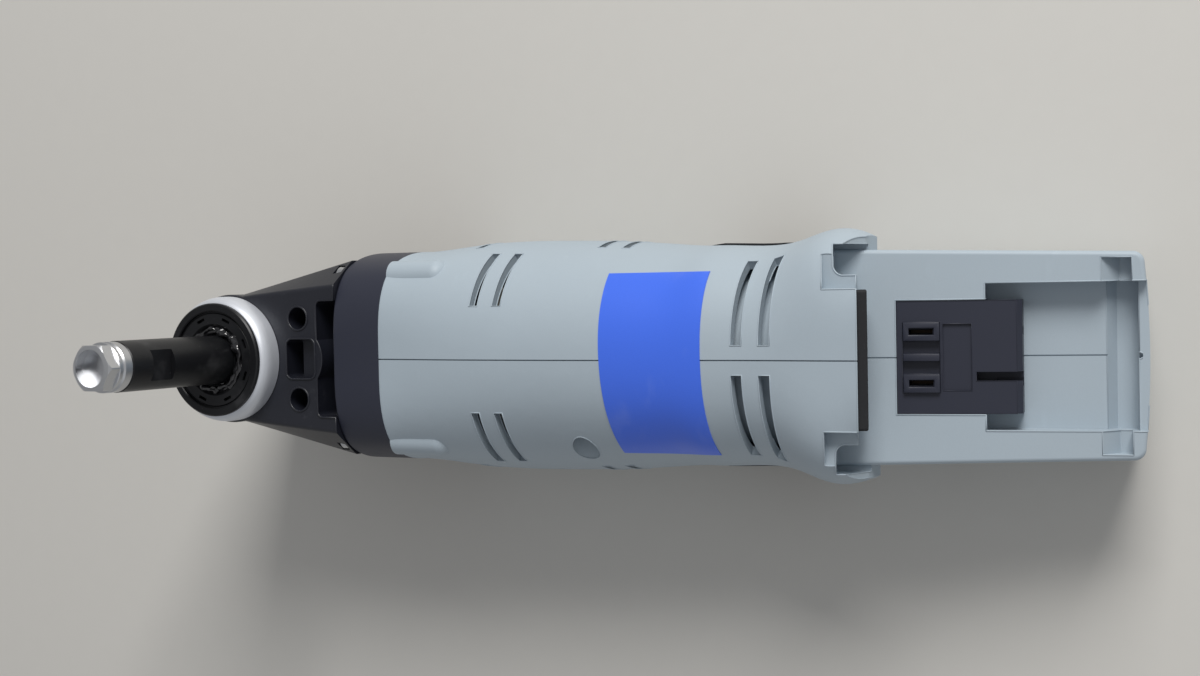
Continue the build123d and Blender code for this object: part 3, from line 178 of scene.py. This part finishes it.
class Graph:
    """Node tree of one finish."""

    def __init__(self, name):
        self.material = bpy.data.materials.new(name)
        self.material.use_nodes = True
        self.tree = self.material.node_tree
        self.shader = self.tree.nodes["Principled BSDF"]
        self.point = self.add("ShaderNodeTexCoord", {}, {}, "Object")

    def add(self, kind, settings, inputs, output=0):
        """Add a node, set it up and link or set its inputs; gives one of its outputs."""
        node = self.tree.nodes.new(kind)
        for key, value in settings.items():
            setattr(node, key, value)
        pairs = inputs.items() if isinstance(inputs, dict) else enumerate(inputs)
        for key, value in pairs:
            socket = node.inputs[key]
            if isinstance(value, Value):
                self.tree.links.new(value.socket, socket)
            else:
                socket.default_value = value
        return Value(self, node.outputs[output])

    def scaled(self, x, y, z):
        """Place on the piece, stretched along each axis."""
        return self.add("ShaderNodeVectorMath", {"operation": "MULTIPLY"}, [self.point, (x, y, z)])

    def noise(self, scale, detail, point=None, roughness=0.5):
        """Cloudy noise from 0 to 1."""
        return self.add(
            "ShaderNodeTexNoise",
            {"noise_dimensions": "3D"},
            {"Vector": point or self.point, "Scale": scale, "Detail": detail, "Roughness": roughness},
            "Fac",
        )

    def mix(self, share, first, second):
        """Colour between two colours."""
        def four(value):
            return value if isinstance(value, Value) else (*value[:3], 1.0)
        return self.add(
            "ShaderNodeMix", {"data_type": "RGBA"}, {0: share, 6: four(first), 7: four(second)}, 2
        )

    def shades(self, base, low, high, share):
        """Colour that wanders between two shades of one colour."""
        dark = tuple(channel * low for channel in base)
        light = tuple(min(channel * high, 1.0) for channel in base)
        return self.mix(share, dark, light)

    def bump(self, height, strength, distance, below=None):
        """Normal of a height, laid over another bump's normal where one is given."""
        inputs = {"Height": height, "Strength": strength, "Distance": distance}
        if below is not None:
            inputs["Normal"] = below
        return self.add("ShaderNodeBump", {}, inputs, "Normal")

    def about_spindle(self):
        """Radius from the spindle's axis, and height."""
        around = self.add(
            "ShaderNodeVectorMath", {"operation": "MULTIPLY_ADD"}, [self.point, (1, 1, 0), (-SPINDLE_X, 0, 0)]
        )
        radius = self.add("ShaderNodeVectorMath", {"operation": "LENGTH"}, [around], "Value")
        height = self.add("ShaderNodeSeparateXYZ", {}, [self.point], "Z")
        return radius, height

    def finish(self, base, roughness, metallic=0.0, normal=None, coat=0.0, coat_roughness=0.1, specular=0.5):
        """Link or set the shader's inputs; gives the material."""
        for name, value in (
            ("Base Color", base),
            ("Roughness", roughness),
            ("Metallic", metallic),
            ("Coat Weight", coat),
        ):
            socket = self.shader.inputs[name]
            if isinstance(value, Value):
                self.tree.links.new(value.socket, socket)
            elif name == "Base Color":
                socket.default_value = (*value[:3], 1.0)
            else:
                socket.default_value = value
        self.shader.inputs["Coat Roughness"].default_value = coat_roughness
        self.shader.inputs["Specular IOR Level"].default_value = specular
        if normal is not None:
            self.tree.links.new(normal.socket, self.shader.inputs["Normal"])
        return self.material


def moulded_plastic(name, base, roughness=0.48, grain=0.25):
    """Moulded plastic with a fine spark-eroded grain, faint flow clouds and a few dull rubs."""
    g = Graph(name)
    clouds = g.noise(scale=28, detail=4, roughness=0.6)
    grain_height = g.noise(scale=2600, detail=3, roughness=0.7)
    coarse = g.noise(scale=900, detail=2)
    along = g.scaled(1.0, 0.25, 1.0)
    rubs = g.noise(scale=120, detail=5, point=along, roughness=0.65).between(0.60, 0.74)
    body = g.shades(base, 0.955, 1.035, clouds)
    body = g.mix(grain_height.between(0.35, 0.7) * 0.10, body, tuple(min(c * 1.25, 1) for c in base))
    body = g.mix(rubs * 0.18, body, tuple(min(c * 1.18 + 0.01, 1) for c in base))
    normal = g.bump(grain_height * 0.6 + coarse * 0.4, strength=grain, distance=0.00006)
    rough = roughness + clouds * 0.08 - rubs * 0.10
    return g.finish(body, rough, normal=normal)


def casting_paint(name, base):
    """Satin black paint over a sand-blasted casting, with orange peel and worn, greyer spots."""
    g = Graph(name)
    peel = g.noise(scale=700, detail=3, roughness=0.55)
    fine = g.noise(scale=3000, detail=2)
    clouds = g.noise(scale=45, detail=5, roughness=0.6)
    dust = g.noise(scale=260, detail=6, roughness=0.7).between(0.58, 0.80)
    body = g.shades(base, 0.85, 1.2, clouds)
    body = g.mix(dust * 0.10, body, (0.20, 0.21, 0.23))
    peel_normal = g.bump(peel, strength=0.30, distance=0.00012)
    normal = g.bump(fine, strength=0.10, distance=0.00004, below=peel_normal)
    return g.finish(body, 0.36 + clouds * 0.10 + dust * 0.15, normal=normal, coat=0.15, coat_roughness=0.3)


def rubber(name, base):
    """Matt rubber with a dry bloom and lint."""
    g = Graph(name)
    grain = g.noise(scale=1800, detail=3, roughness=0.6)
    bloom = g.noise(scale=60, detail=5, roughness=0.65)
    body = g.shades(base, 0.85, 1.35, bloom)
    body = g.mix(grain.between(0.60, 0.75) * 0.20, body, (0.12, 0.12, 0.13))
    normal = g.bump(grain, strength=0.35, distance=0.00008)
    return g.finish(body, 0.68 + bloom * 0.15, normal=normal, specular=0.35)


def turned_metal(name, base, roughness=0.26, lines=0.25, metallic=1.0, worn=None):
    """Metal turned about the spindle's axis: fine rings on faces and sides, and a few nicks."""
    g = Graph(name)
    radius, height = g.about_spindle()
    rings = g.add("ShaderNodeCombineXYZ", {}, [radius, height, 0.0])
    line = g.noise(scale=5200, detail=2, point=rings, roughness=0.7)
    wide = g.noise(scale=900, detail=2, point=rings)
    nicks = g.noise(scale=900, detail=5, roughness=0.7).between(0.66, 0.74)
    clouds = g.noise(scale=90, detail=4)
    body = g.shades(base, 0.90, 1.06, line * 0.5 + wide * 0.5)
    if worn is not None:
        body = g.mix(nicks * 0.5 + clouds.between(0.55, 0.8) * 0.25, body, worn)
    normal = g.bump(line * 0.7 + wide * 0.3, strength=lines, distance=0.00003)
    return g.finish(body, roughness + line * 0.10 + clouds * 0.06, metallic=metallic, normal=normal)


def plated_metal(name, base, roughness=0.28):
    """Zinc or nickel plate, faintly cloudy, with small scratches."""
    g = Graph(name)
    clouds = g.noise(scale=160, detail=4, roughness=0.6)
    along = g.scaled(0.15, 1.0, 1.0)
    scratches = g.noise(scale=420, detail=3, point=along, roughness=0.6).between(0.56, 0.62)
    body = g.shades(base, 0.88, 1.08, clouds)
    dents = g.noise(scale=1500, detail=3)
    normal = g.bump(dents, strength=0.12, distance=0.00004)
    return g.finish(body, roughness + clouds * 0.12 + scratches * 0.08, metallic=1.0, normal=normal)


def printed_film(name, base):
    """Blue printed film under a clear gloss, with an even print grain and faint rubs."""
    g = Graph(name)
    print_grain = g.noise(scale=3200, detail=2, roughness=0.7)
    along = g.scaled(1.0, 0.4, 1.0)
    rubs = g.noise(scale=90, detail=5, point=along, roughness=0.6).between(0.55, 0.78)
    body = g.shades(base, 0.94, 1.06, print_grain)
    body = g.mix(rubs * 0.07, body, (0.55, 0.65, 0.95))
    waves = g.noise(scale=420, detail=3)
    normal = g.bump(waves, strength=0.05, distance=0.00008)
    return g.finish(body, 0.33 + rubs * 0.12, normal=normal, coat=0.35, coat_roughness=0.22)


def plain_material(name, base, roughness, metallic=0.0):
    """Small inner part: its colour with a little grain."""
    g = Graph(name)
    speckle = g.noise(scale=900, detail=3, roughness=0.6)
    body = g.shades(base, 0.88, 1.10, speckle)
    normal = g.bump(speckle, strength=0.2, distance=0.00005)
    return g.finish(body, roughness + speckle * 0.10, metallic=metallic, normal=normal)


def finishes(colours):
    """Every finish of the saw by the name of its slot."""
    return {
        "grey_plastic": moulded_plastic("shell_grey", tuple(colours.shell_grey)),
        "black_plastic": moulded_plastic("band_black", tuple(colours.band_black), 0.42, grain=0.30),
        "black_rubber": rubber("rubber_black", tuple(colours.rubber_black)),
        "black_paint": casting_paint("casting_black", tuple(colours.casting_black)),
        "black_steel": turned_metal(
            "oxide_black", tuple(colours.oxide_black), 0.30, lines=0.30, metallic=0.35,
            worn=(0.20, 0.20, 0.21),
        ),
        "turned_aluminium": turned_metal(
            "turned_aluminium", (0.74, 0.77, 0.83), 0.40, lines=0.30, metallic=0.55,
        ),
        "bright_steel": turned_metal("bright_steel", (0.66, 0.67, 0.69), 0.24, lines=0.18),
        "screw_steel": plated_metal("screw_steel", (0.62, 0.63, 0.65)),
        "bearing_steel": plated_metal("bearing_steel", (0.52, 0.52, 0.54), 0.20),
        "plated_steel": plated_metal("plated_steel", (0.50, 0.49, 0.46), 0.34),
        "bronze": plain_material("bronze", (0.52, 0.33, 0.14), 0.38, metallic=1.0),
        "copper": plain_material("copper", (0.60, 0.27, 0.13), 0.30, metallic=1.0),
        "ferrite": plain_material("ferrite", (0.045, 0.045, 0.048), 0.60),
        "white_nylon": plain_material("white_nylon", (0.68, 0.67, 0.62), 0.45),
        "board_green": plain_material("board_green", (0.02, 0.14, 0.06), 0.30),
        "lead_red": plain_material("lead_red", (0.42, 0.02, 0.02), 0.45),
        "blue_film": printed_film("blue_film", tuple(colours.film_blue)),
    }


def grease_finish(name, base):
    """Wet black grease with a clear, uneven gloss."""
    g = Graph(name)
    ripples = g.noise(scale=520, detail=3, roughness=0.6)
    normal = g.bump(ripples, strength=0.5, distance=0.0003)
    return g.finish(base, 0.14, normal=normal, coat=0.8, coat_roughness=0.05)


def deselect():
    bpy.ops.object.select_all(action="DESELECT")


def add_box(low, high):
    """Cube primitive between two corners in millimetres, its size applied."""
    deselect()
    middle = [(a + b) / 2 * MM for a, b in zip(low, high)]
    bpy.ops.mesh.primitive_cube_add(size=1, location=middle, scale=[(b - a) * MM for a, b in zip(low, high)])
    bpy.ops.object.transform_apply(location=True, rotation=True, scale=True)
    return bpy.context.object


def pick_faces(test):
    """Select the active mesh's faces that pass a test, and stay in edit mode."""
    bpy.ops.object.mode_set(mode="EDIT")
    bpy.ops.mesh.select_mode(type="FACE")
    bpy.ops.mesh.select_all(action="DESELECT")
    bpy.ops.object.mode_set(mode="OBJECT")
    for polygon in bpy.context.object.data.polygons:
        polygon.select = test(polygon)
    bpy.ops.object.mode_set(mode="EDIT")


def apply_modifier(kind, **settings):
    """Add a modifier to the active object, set it and apply it."""
    modifier = bpy.context.object.modifiers.new(kind.lower(), kind)
    for key, value in settings.items():
        setattr(modifier, key, value)
    bpy.ops.object.modifier_apply(modifier=modifier.name)


def smooth_shading(angle=SMOOTH_BELOW):
    """Shade the active object's edges smooth where its faces meet under an angle."""
    bpy.ops.object.shade_smooth_by_angle(angle=angle)


def soften_edges(width):
    """Round the active object's sharp edges, by a width in millimetres."""
    apply_modifier("BEVEL", width=width * MM, segments=2, limit_method="ANGLE", angle_limit=math.radians(30))
    smooth_shading()


def place(matrix):
    """Put the active object's mesh through a matrix and keep the object at the origin."""
    bpy.context.object.matrix_world = matrix
    bpy.ops.object.transform_apply(location=True, rotation=True, scale=True)


def finished(name, finish, body):
    """Name the active object, give it its finish, and let it ride on a body."""
    piece = bpy.context.object
    piece.name = name
    piece.data.name = name
    piece.data.materials.clear()
    piece.data.materials.append(finish)
    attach(piece, body)
    return piece


def station(point):
    """Distance behind the spindle, side place and height above the body axis, in millimetres."""
    return (point.x - SPINDLE_X) / MM, point.y / MM, (point.z - AXIS_Z) / MM


def edge_bead(node_name, name, radius, wanted):
    """Thin rounded lip along the sharp edges of a carried-over piece that pass a test of their middle."""
    deselect()
    copy = bpy.data.objects.new(name, nodes[node_name].data.copy())
    bpy.context.scene.collection.objects.link(copy)
    bpy.context.view_layer.objects.active = copy
    copy.select_set(True)
    bpy.ops.object.mode_set(mode="EDIT")
    bpy.ops.mesh.select_mode(type="EDGE")
    bpy.ops.mesh.select_all(action="SELECT")
    bpy.ops.mesh.remove_doubles(threshold=0.00001)
    bpy.ops.mesh.select_all(action="DESELECT")
    bpy.ops.mesh.edges_select_sharp(sharpness=math.radians(40))
    bpy.ops.object.mode_set(mode="OBJECT")
    points = copy.data.vertices
    for edge in copy.data.edges:
        middle = (points[edge.vertices[0]].co + points[edge.vertices[1]].co) / 2
        edge.select = edge.select and wanted(*station(middle))
    bpy.ops.object.mode_set(mode="EDIT")
    bpy.ops.mesh.select_all(action="INVERT")
    bpy.ops.mesh.delete(type="EDGE_FACE")
    bpy.ops.mesh.select_all(action="SELECT")
    bpy.ops.mesh.delete_loose(use_verts=True, use_edges=False, use_faces=False)
    bpy.ops.object.mode_set(mode="OBJECT")
    bpy.ops.object.convert(target="CURVE")
    line = bpy.context.object
    line.data.bevel_depth = radius * MM
    line.data.bevel_resolution = 1
    line.data.use_fill_caps = True
    bpy.ops.object.convert(target="MESH")
    bpy.ops.object.shade_smooth()
    return finished(name, node_finish(node_name), "housing")


def turned_ring(profile, segments=128):
    """Closed ring about the spindle's axis: a circle extruded along radius and height points."""
    deselect()
    first_r, first_h = profile[0]
    centre = (SPINDLE_X, 0, AXIS_Z + first_h * MM)
    bpy.ops.mesh.primitive_circle_add(vertices=segments, radius=first_r * MM, location=centre)
    bpy.ops.object.transform_apply(location=True, rotation=True, scale=True)
    bpy.ops.object.mode_set(mode="EDIT")
    bpy.ops.mesh.select_mode(type="VERT")
    bpy.ops.mesh.select_all(action="SELECT")
    last_r, last_h = profile[0]
    for radius, height in profile[1:]:
        bpy.ops.mesh.extrude_region_move(
            TRANSFORM_OT_translate={"value": (0, 0, (height - last_h) * MM)}
        )
        share = radius / last_r
        bpy.ops.transform.resize(value=(share, share, 1), center_override=(SPINDLE_X, 0, AXIS_Z))
        last_r, last_h = radius, height
    bpy.ops.mesh.select_all(action="SELECT")
    bpy.ops.mesh.remove_doubles(threshold=0.000001)
    bpy.ops.mesh.normals_make_consistent(inside=False)
    bpy.ops.object.mode_set(mode="OBJECT")
    return bpy.context.object


def node_finish(name):
    """Finish that a carried-over piece has been given."""
    return nodes[name].material_slots[0].material


class CASTSAW_OT_finishes(bpy.types.Operator):
    """Give every carried-over piece of the saw its own finish"""
    bl_idname = "castsaw.finishes"
    bl_label = "Finishes"

    def execute(self, context):
        made = finishes(context.scene.castsaw_colours)
        for part in frame["record"]["subparts"]:
            node = nodes[part["node"]]
            finish = made[part["material_slot"]]
            for holder in node.material_slots:
                holder.material = finish
        # The contact tabs get a near-black brown metal: painted shade of the deep contact holes they sit in.
        tab_painted_shade = plain_material("contact_tabs_painted_shade", (0.05, 0.035, 0.025), 0.5, metallic=0.8)
        nodes["contact_tabs"].material_slots[0].material = tab_painted_shade
        return {"FINISHED"}


class CASTSAW_OT_contact_frames(bpy.types.Operator):
    """Raise a rounded frame round each contact hole, and the guide bar between them"""
    bl_idname = "castsaw.contact_frames"
    bl_label = "Contact frames"

    def execute(self, context):
        sizes = context.scene.castsaw_sizes
        front, rear = 5.9, 15.5
        foot = -0.1
        top = foot + sizes.frame_rise / MM
        hole_side = 6.9
        half_frame, half_bar = 2.45, 0.95
        rounding = 0.22
        for name, middle in (("contact_frame_left", hole_side), ("contact_frame_right", -hole_side)):
            add_box((front, middle - half_frame, foot), (rear, middle + half_frame, top))
            pick_faces(lambda polygon: abs(polygon.normal.z) > 0.9)
            bpy.ops.mesh.inset(thickness=sizes.frame_wall, use_individual=True)
            bpy.ops.mesh.bridge_edge_loops()
            bpy.ops.object.mode_set(mode="OBJECT")
            soften_edges(rounding)
            place(DECK)
            finished(name, node_finish("contact_block"), "housing")
        add_box((front, -half_bar, foot), (rear, half_bar, top))
        soften_edges(rounding)
        place(DECK)
        finished("contact_guide_bar", node_finish("contact_block"), "housing")
        return {"FINISHED"}


class CASTSAW_OT_neck(bpy.types.Operator):
    """Turn the bright neck with its softly rounded shoulder"""
    bl_idname = "castsaw.neck"
    bl_label = "Neck"

    def execute(self, context):
        foot, step, seat, top = 26.0, 31.5, 36.0, 38.6
        spigot, collar, rim_seat, bore, web_bore = 17.0, 19.4, 14.6, 14.0, 12.2
        web_top = foot + 1.0
        shoulder = [
            (collar, 34.4), (19.3, 35.4), (19.05, 36.4), (18.65, 37.3), (18.15, 38.0), (17.6, 38.4),
            (17.2, 38.55), (16.9, top),
        ]
        turned_ring([
            (web_bore, foot), (spigot, foot), (spigot, step), (collar - 0.2, step), (collar, step + 0.2),
            *shoulder,
            (rim_seat, top), (rim_seat, seat), (bore, seat), (bore, web_top), (web_bore, web_top),
            (web_bore, foot),
        ])
        smooth_shading()
        neck = finished("clamping_neck_turned", node_finish("clamping_neck"), "housing")
        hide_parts("clamping_neck")
        return {"FINISHED"}


class CASTSAW_OT_screw_head(bpy.types.Operator):
    """Make the clamp screw with a round chamfer over its hexagon's corners"""
    bl_idname = "castsaw.screw_head"
    bl_label = "Screw head"

    def execute(self, context):
        screw_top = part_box("clamp_screw")[1][2]
        top = (screw_top - AXIS_Z) / MM
        across_flats, hexagon_height = 13.0, 4.5
        foot = top - 5.3
        envelope_radius = 7.42
        turned_ring([
            (ON_AXIS, foot), (7.25, foot), (envelope_radius, foot + 0.2), (envelope_radius, foot + 0.9),
            (envelope_radius, top - 1.15), (6.7, top - 0.42), (5.75, top - 0.06), (5.4, top), (5.2, top),
            (ON_AXIS, top),
        ], 96)
        envelope = bpy.context.object
        bpy.ops.mesh.primitive_cylinder_add(
            vertices=6, radius=across_flats / math.sqrt(3) * MM, depth=hexagon_height * MM,
            location=(SPINDLE_X, 0, AXIS_Z + (top - hexagon_height / 2) * MM), rotation=(0, 0, math.pi / 6),
        )
        bpy.ops.object.transform_apply(location=True, rotation=True, scale=True)
        hexagon = bpy.context.object
        apply_modifier("BOOLEAN", operation="INTERSECT", solver="EXACT", object=envelope)
        smooth_shading(math.radians(20))
        bpy.data.objects.remove(envelope)
        flange_radius = 7.3
        turned_ring([
            (ON_AXIS, foot), (flange_radius - 0.15, foot), (flange_radius, foot + 0.15),
            (flange_radius, foot + 0.6), (flange_radius - 0.2, foot + 0.8), (ON_AXIS, foot + 0.82),
        ], 96)
        flange = bpy.context.object
        smooth_shading()
        shank_radius, shank_length, root = 4.0, 24.0, 0.1
        turned_ring([
            (ON_AXIS, foot - shank_length), (shank_radius - 0.6, foot - shank_length),
            (shank_radius, foot - shank_length + 0.7), (shank_radius, foot + root), (ON_AXIS, foot + root),
        ], 48)
        smooth_shading()
        hexagon.select_set(True)
        flange.select_set(True)
        bpy.ops.object.join()
        screw = finished("clamp_screw_dressed", node_finish("clamp_screw"), "clamp_screw")
        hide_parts("clamp_screw")
        return {"FINISHED"}


class CASTSAW_OT_edge_lips(bpy.types.Operator):
    """Round the edges of shells, casting recesses and contact block with thin lips"""
    bl_idname = "castsaw.edge_lips"
    bl_label = "Edge lips"

    def execute(self, context):
        deck_fall = math.tan(DECK_SLOPE)
        seam_half = 0.6
        front_vents, rear_vents = (76.0, 132.0), (170.0, 184.0)
        collar_front, tray_front, rear_edge = 195.0, 206.9, 273.2

        def on_shell(behind, side, height):
            """Outer edges of vents, collar and tray, away from the seam and the rearmost edge."""
            if abs(side) < seam_half:
                return False
            if collar_front < behind < tray_front:
                return height > 11.0
            if behind >= tray_front:
                return height > 4.0 - (behind - DECK_START) * deck_fall and behind < rear_edge
            spread = math.hypot(side, height)
            if rear_vents[0] < behind < rear_vents[1]:
                return height > 15.0 and spread > 29.9
            return front_vents[0] < behind < front_vents[1] and height > -8.0 and spread > 32.4

        def on_casting(behind, side, height):
            """Rims of the recesses in the casting's upper face."""
            return height > 31.3 and behind > 21.0

        def on_block(behind, side, height):
            """Edges of the block above the deck."""
            return height > 11.6 - (behind - DECK_START) * deck_fall

        edge_bead("left_housing", "left_shell_lips", 0.2, on_shell)
        edge_bead("right_housing", "right_shell_lips", 0.2, on_shell)
        edge_bead("gear_case", "casting_lips", 0.35, on_casting)
        edge_bead("contact_block", "contact_block_lips", 0.14, on_block)
        return {"FINISHED"}


class CASTSAW_OT_grease(bpy.types.Operator):
    """Lay a lumpy bead of grease round the spindle, where it leaves the slotted nut"""
    bl_idname = "castsaw.grease"
    bl_label = "Grease bead"

    def execute(self, context):
        deselect()
        ring_height, ring_radius, bead_radius = 38.4, 9.3, 1.6
        bpy.ops.mesh.primitive_torus_add(
            location=(SPINDLE_X, 0, AXIS_Z + ring_height * MM),
            major_radius=ring_radius * MM, minor_radius=bead_radius * MM,
            major_segments=64, minor_segments=14,
        )
        bpy.ops.object.transform_apply(location=True, rotation=True, scale=True)
        lumps = bpy.data.textures.new("lumps", "CLOUDS")
        lumps.noise_scale = 0.0032
        lumps.noise_depth = 1
        apply_modifier("SUBSURF", levels=1, render_levels=1)
        apply_modifier("DISPLACE", texture=lumps, texture_coords="GLOBAL", strength=0.0034, mid_level=0.62)
        apply_modifier("SMOOTH", factor=0.5, iterations=2)
        bpy.ops.object.shade_smooth()
        grease = grease_finish("wet_grease", (0.012, 0.012, 0.014))
        finished("grease_bead", grease, "housing")
        return {"FINISHED"}


class CASTSAW_OT_screw_thread(bpy.types.Operator):
    """Wind the thread of the clamp screw"""
    bl_idname = "castsaw.screw_thread"
    bl_label = "Screw thread"

    def execute(self, context):
        deselect()
        pitch = context.scene.castsaw_sizes.thread_pitch
        turns, steps = 16, 36
        ridge, ridge_centre, tip_gap = 0.62, 3.66, 1.0
        bpy.ops.mesh.primitive_circle_add(vertices=3, radius=ridge * MM, rotation=(math.pi / 2, 0, 0))
        bpy.ops.object.transform_apply(location=True, rotation=True, scale=True)
        bpy.ops.object.mode_set(mode="EDIT")
        bpy.ops.mesh.select_mode(type="VERT")
        bpy.ops.mesh.select_all(action="SELECT")
        bpy.ops.transform.rotate(value=math.pi / 2, orient_axis="Y", center_override=(0, 0, 0))
        bpy.ops.transform.translate(value=(ridge_centre * MM, 0, 0))
        bpy.ops.object.mode_set(mode="OBJECT")
        apply_modifier(
            "SCREW", axis="Z", screw_offset=pitch, iterations=turns, steps=steps, render_steps=steps,
            use_merge_vertices=False,
        )
        bpy.ops.object.mode_set(mode="EDIT")
        bpy.ops.mesh.select_all(action="SELECT")
        bpy.ops.mesh.remove_doubles(threshold=0.000001)
        bpy.ops.mesh.fill_holes(sides=4)
        bpy.ops.mesh.normals_make_consistent(inside=False)
        bpy.ops.object.mode_set(mode="OBJECT")
        screw_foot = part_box("clamp_screw")[0][2]
        place(Matrix.Translation((SPINDLE_X, 0, screw_foot + tip_gap * MM)))
        smooth_shading()
        finished("clamp_screw_thread", node_finish("clamp_screw"), "clamp_screw")
        return {"FINISHED"}


class CASTSAW_OT_stage(bpy.types.Operator):
    """Lay the plain floor, light it softly and set the camera at the picture's angle"""
    bl_idname = "castsaw.stage"
    bl_label = "Stage"

    def execute(self, context):
        settings = context.scene.castsaw_stage
        self.floor(settings)
        self.lamps(context, settings)
        self.room(context, settings)
        self.camera(context, settings)
        return {"FINISHED"}

    def floor(self, settings):
        """Plain table top, a hair under the saw."""
        deselect()
        bpy.ops.mesh.primitive_plane_add(size=8.0, location=(0, 0, -0.2 * MM))
        table = bpy.context.object
        table.name = "floor"
        g = Graph("table_top")
        clouds = g.noise(scale=3.0, detail=4)
        fine = g.noise(scale=140, detail=4)
        body = g.shades(tuple(settings.floor), 0.97, 1.03, clouds * 0.6 + fine * 0.4)
        table.data.materials.append(g.finish(body, 0.55, specular=0.3))

    def lamps(self, context, settings):
        """A large window light behind the saw's upper side and a weak fill."""
        warm, cool = (1.0, 0.985, 0.96), (0.95, 0.97, 1.0)
        for name, spot, size, power, tint in (
            ("window", (0.50, 1.28, 1.00), 0.75, settings.main_lamp, warm),
            ("fill", (0.9, -0.9, 1.3), 1.4, settings.fill_lamp, cool),
        ):
            lamp = bpy.data.lights.new(name, "AREA")
            lamp.shape = "SQUARE"
            lamp.size = size
            lamp.energy = power
            lamp.color = tint
            holder = bpy.data.objects.new(name, lamp)
            context.scene.collection.objects.link(holder)
            holder.location = spot
            aim = LAMP_AIM - Vector(spot)
            holder.rotation_euler = aim.to_track_quat("-Z", "Y").to_euler()

    def room(self, context, settings):
        """Pale room: an even light from all sides."""
        world = bpy.data.worlds.new("room")
        context.scene.world = world
        world.use_nodes = True
        background = world.node_tree.nodes["Background"]
        background.inputs["Color"].default_value = (0.93, 0.94, 0.96, 1)
        background.inputs["Strength"].default_value = settings.room

    def camera(self, context, settings):
        """Camera over the middle of the body, turned as the picture was taken."""
        view = bpy.data.cameras.new("view")
        view.lens = settings.lens
        view.sensor_width = 36
        view.clip_start = 0.01
        holder = bpy.data.objects.new("view", view)
        context.scene.collection.objects.link(holder)
        sight = Vector((math.sin(settings.tilt), 0, math.cos(settings.tilt)))
        right = Vector((math.cos(settings.tilt), 0, -math.sin(settings.tilt)))
        upright = sight.cross(right)
        eye = sight * settings.distance + upright * settings.rise
        face = Matrix((right, upright, sight)).transposed().to_4x4()
        lean = Matrix.Rotation(-settings.lean, 4, "X")
        picture_turn = Matrix.Rotation(settings.turn, 4, "Z")
        holder.matrix_world = (
            Matrix.Translation(PICTURE_MIDDLE) @ lean @ Matrix.Translation(eye) @ face @ picture_turn
        )
        context.scene.camera = holder
        context.scene.view_settings.view_transform = "Standard"


OPERATORS = (
    CASTSAW_OT_finishes,
    CASTSAW_OT_contact_frames,
    CASTSAW_OT_neck,
    CASTSAW_OT_screw_head,
    CASTSAW_OT_screw_thread,
    CASTSAW_OT_grease,
    CASTSAW_OT_edge_lips,
    CASTSAW_OT_stage,
)


class CASTSAW_PT_panel(bpy.types.Panel):
    """Lists the saw's operators and settings"""
    bl_idname = "CASTSAW_PT_panel"
    bl_label = "Cast saw"
    bl_space_type = "VIEW_3D"
    bl_region_type = "UI"
    bl_category = "Cast saw"

    def draw(self, context):
        for operator in OPERATORS:
            self.layout.operator(operator.bl_idname)
        scene = context.scene
        for group in (scene.castsaw_colours, scene.castsaw_sizes, scene.castsaw_stage):
            box = self.layout.box()
            for key in group.bl_rna.properties.keys():
                if key not in {"rna_type", "name"}:
                    box.prop(group, key)


CLASSES = (ToolColours, FittingSizes, StageSettings, *OPERATORS, CASTSAW_PT_panel)


def register():
    for cls in CLASSES:
        bpy.utils.register_class(cls)
    bpy.types.Scene.castsaw_colours = PointerProperty(type=ToolColours)
    bpy.types.Scene.castsaw_sizes = PointerProperty(type=FittingSizes)
    bpy.types.Scene.castsaw_stage = PointerProperty(type=StageSettings)


def unregister():
    del bpy.types.Scene.castsaw_stage
    del bpy.types.Scene.castsaw_sizes
    del bpy.types.Scene.castsaw_colours
    for cls in reversed(CLASSES):
        bpy.utils.unregister_class(cls)


def main():
    register()
    for operator in OPERATORS:
        group, name = operator.bl_idname.split(".")
        getattr(getattr(bpy.ops, group), name)()


if __name__ == "__main__":
    main()
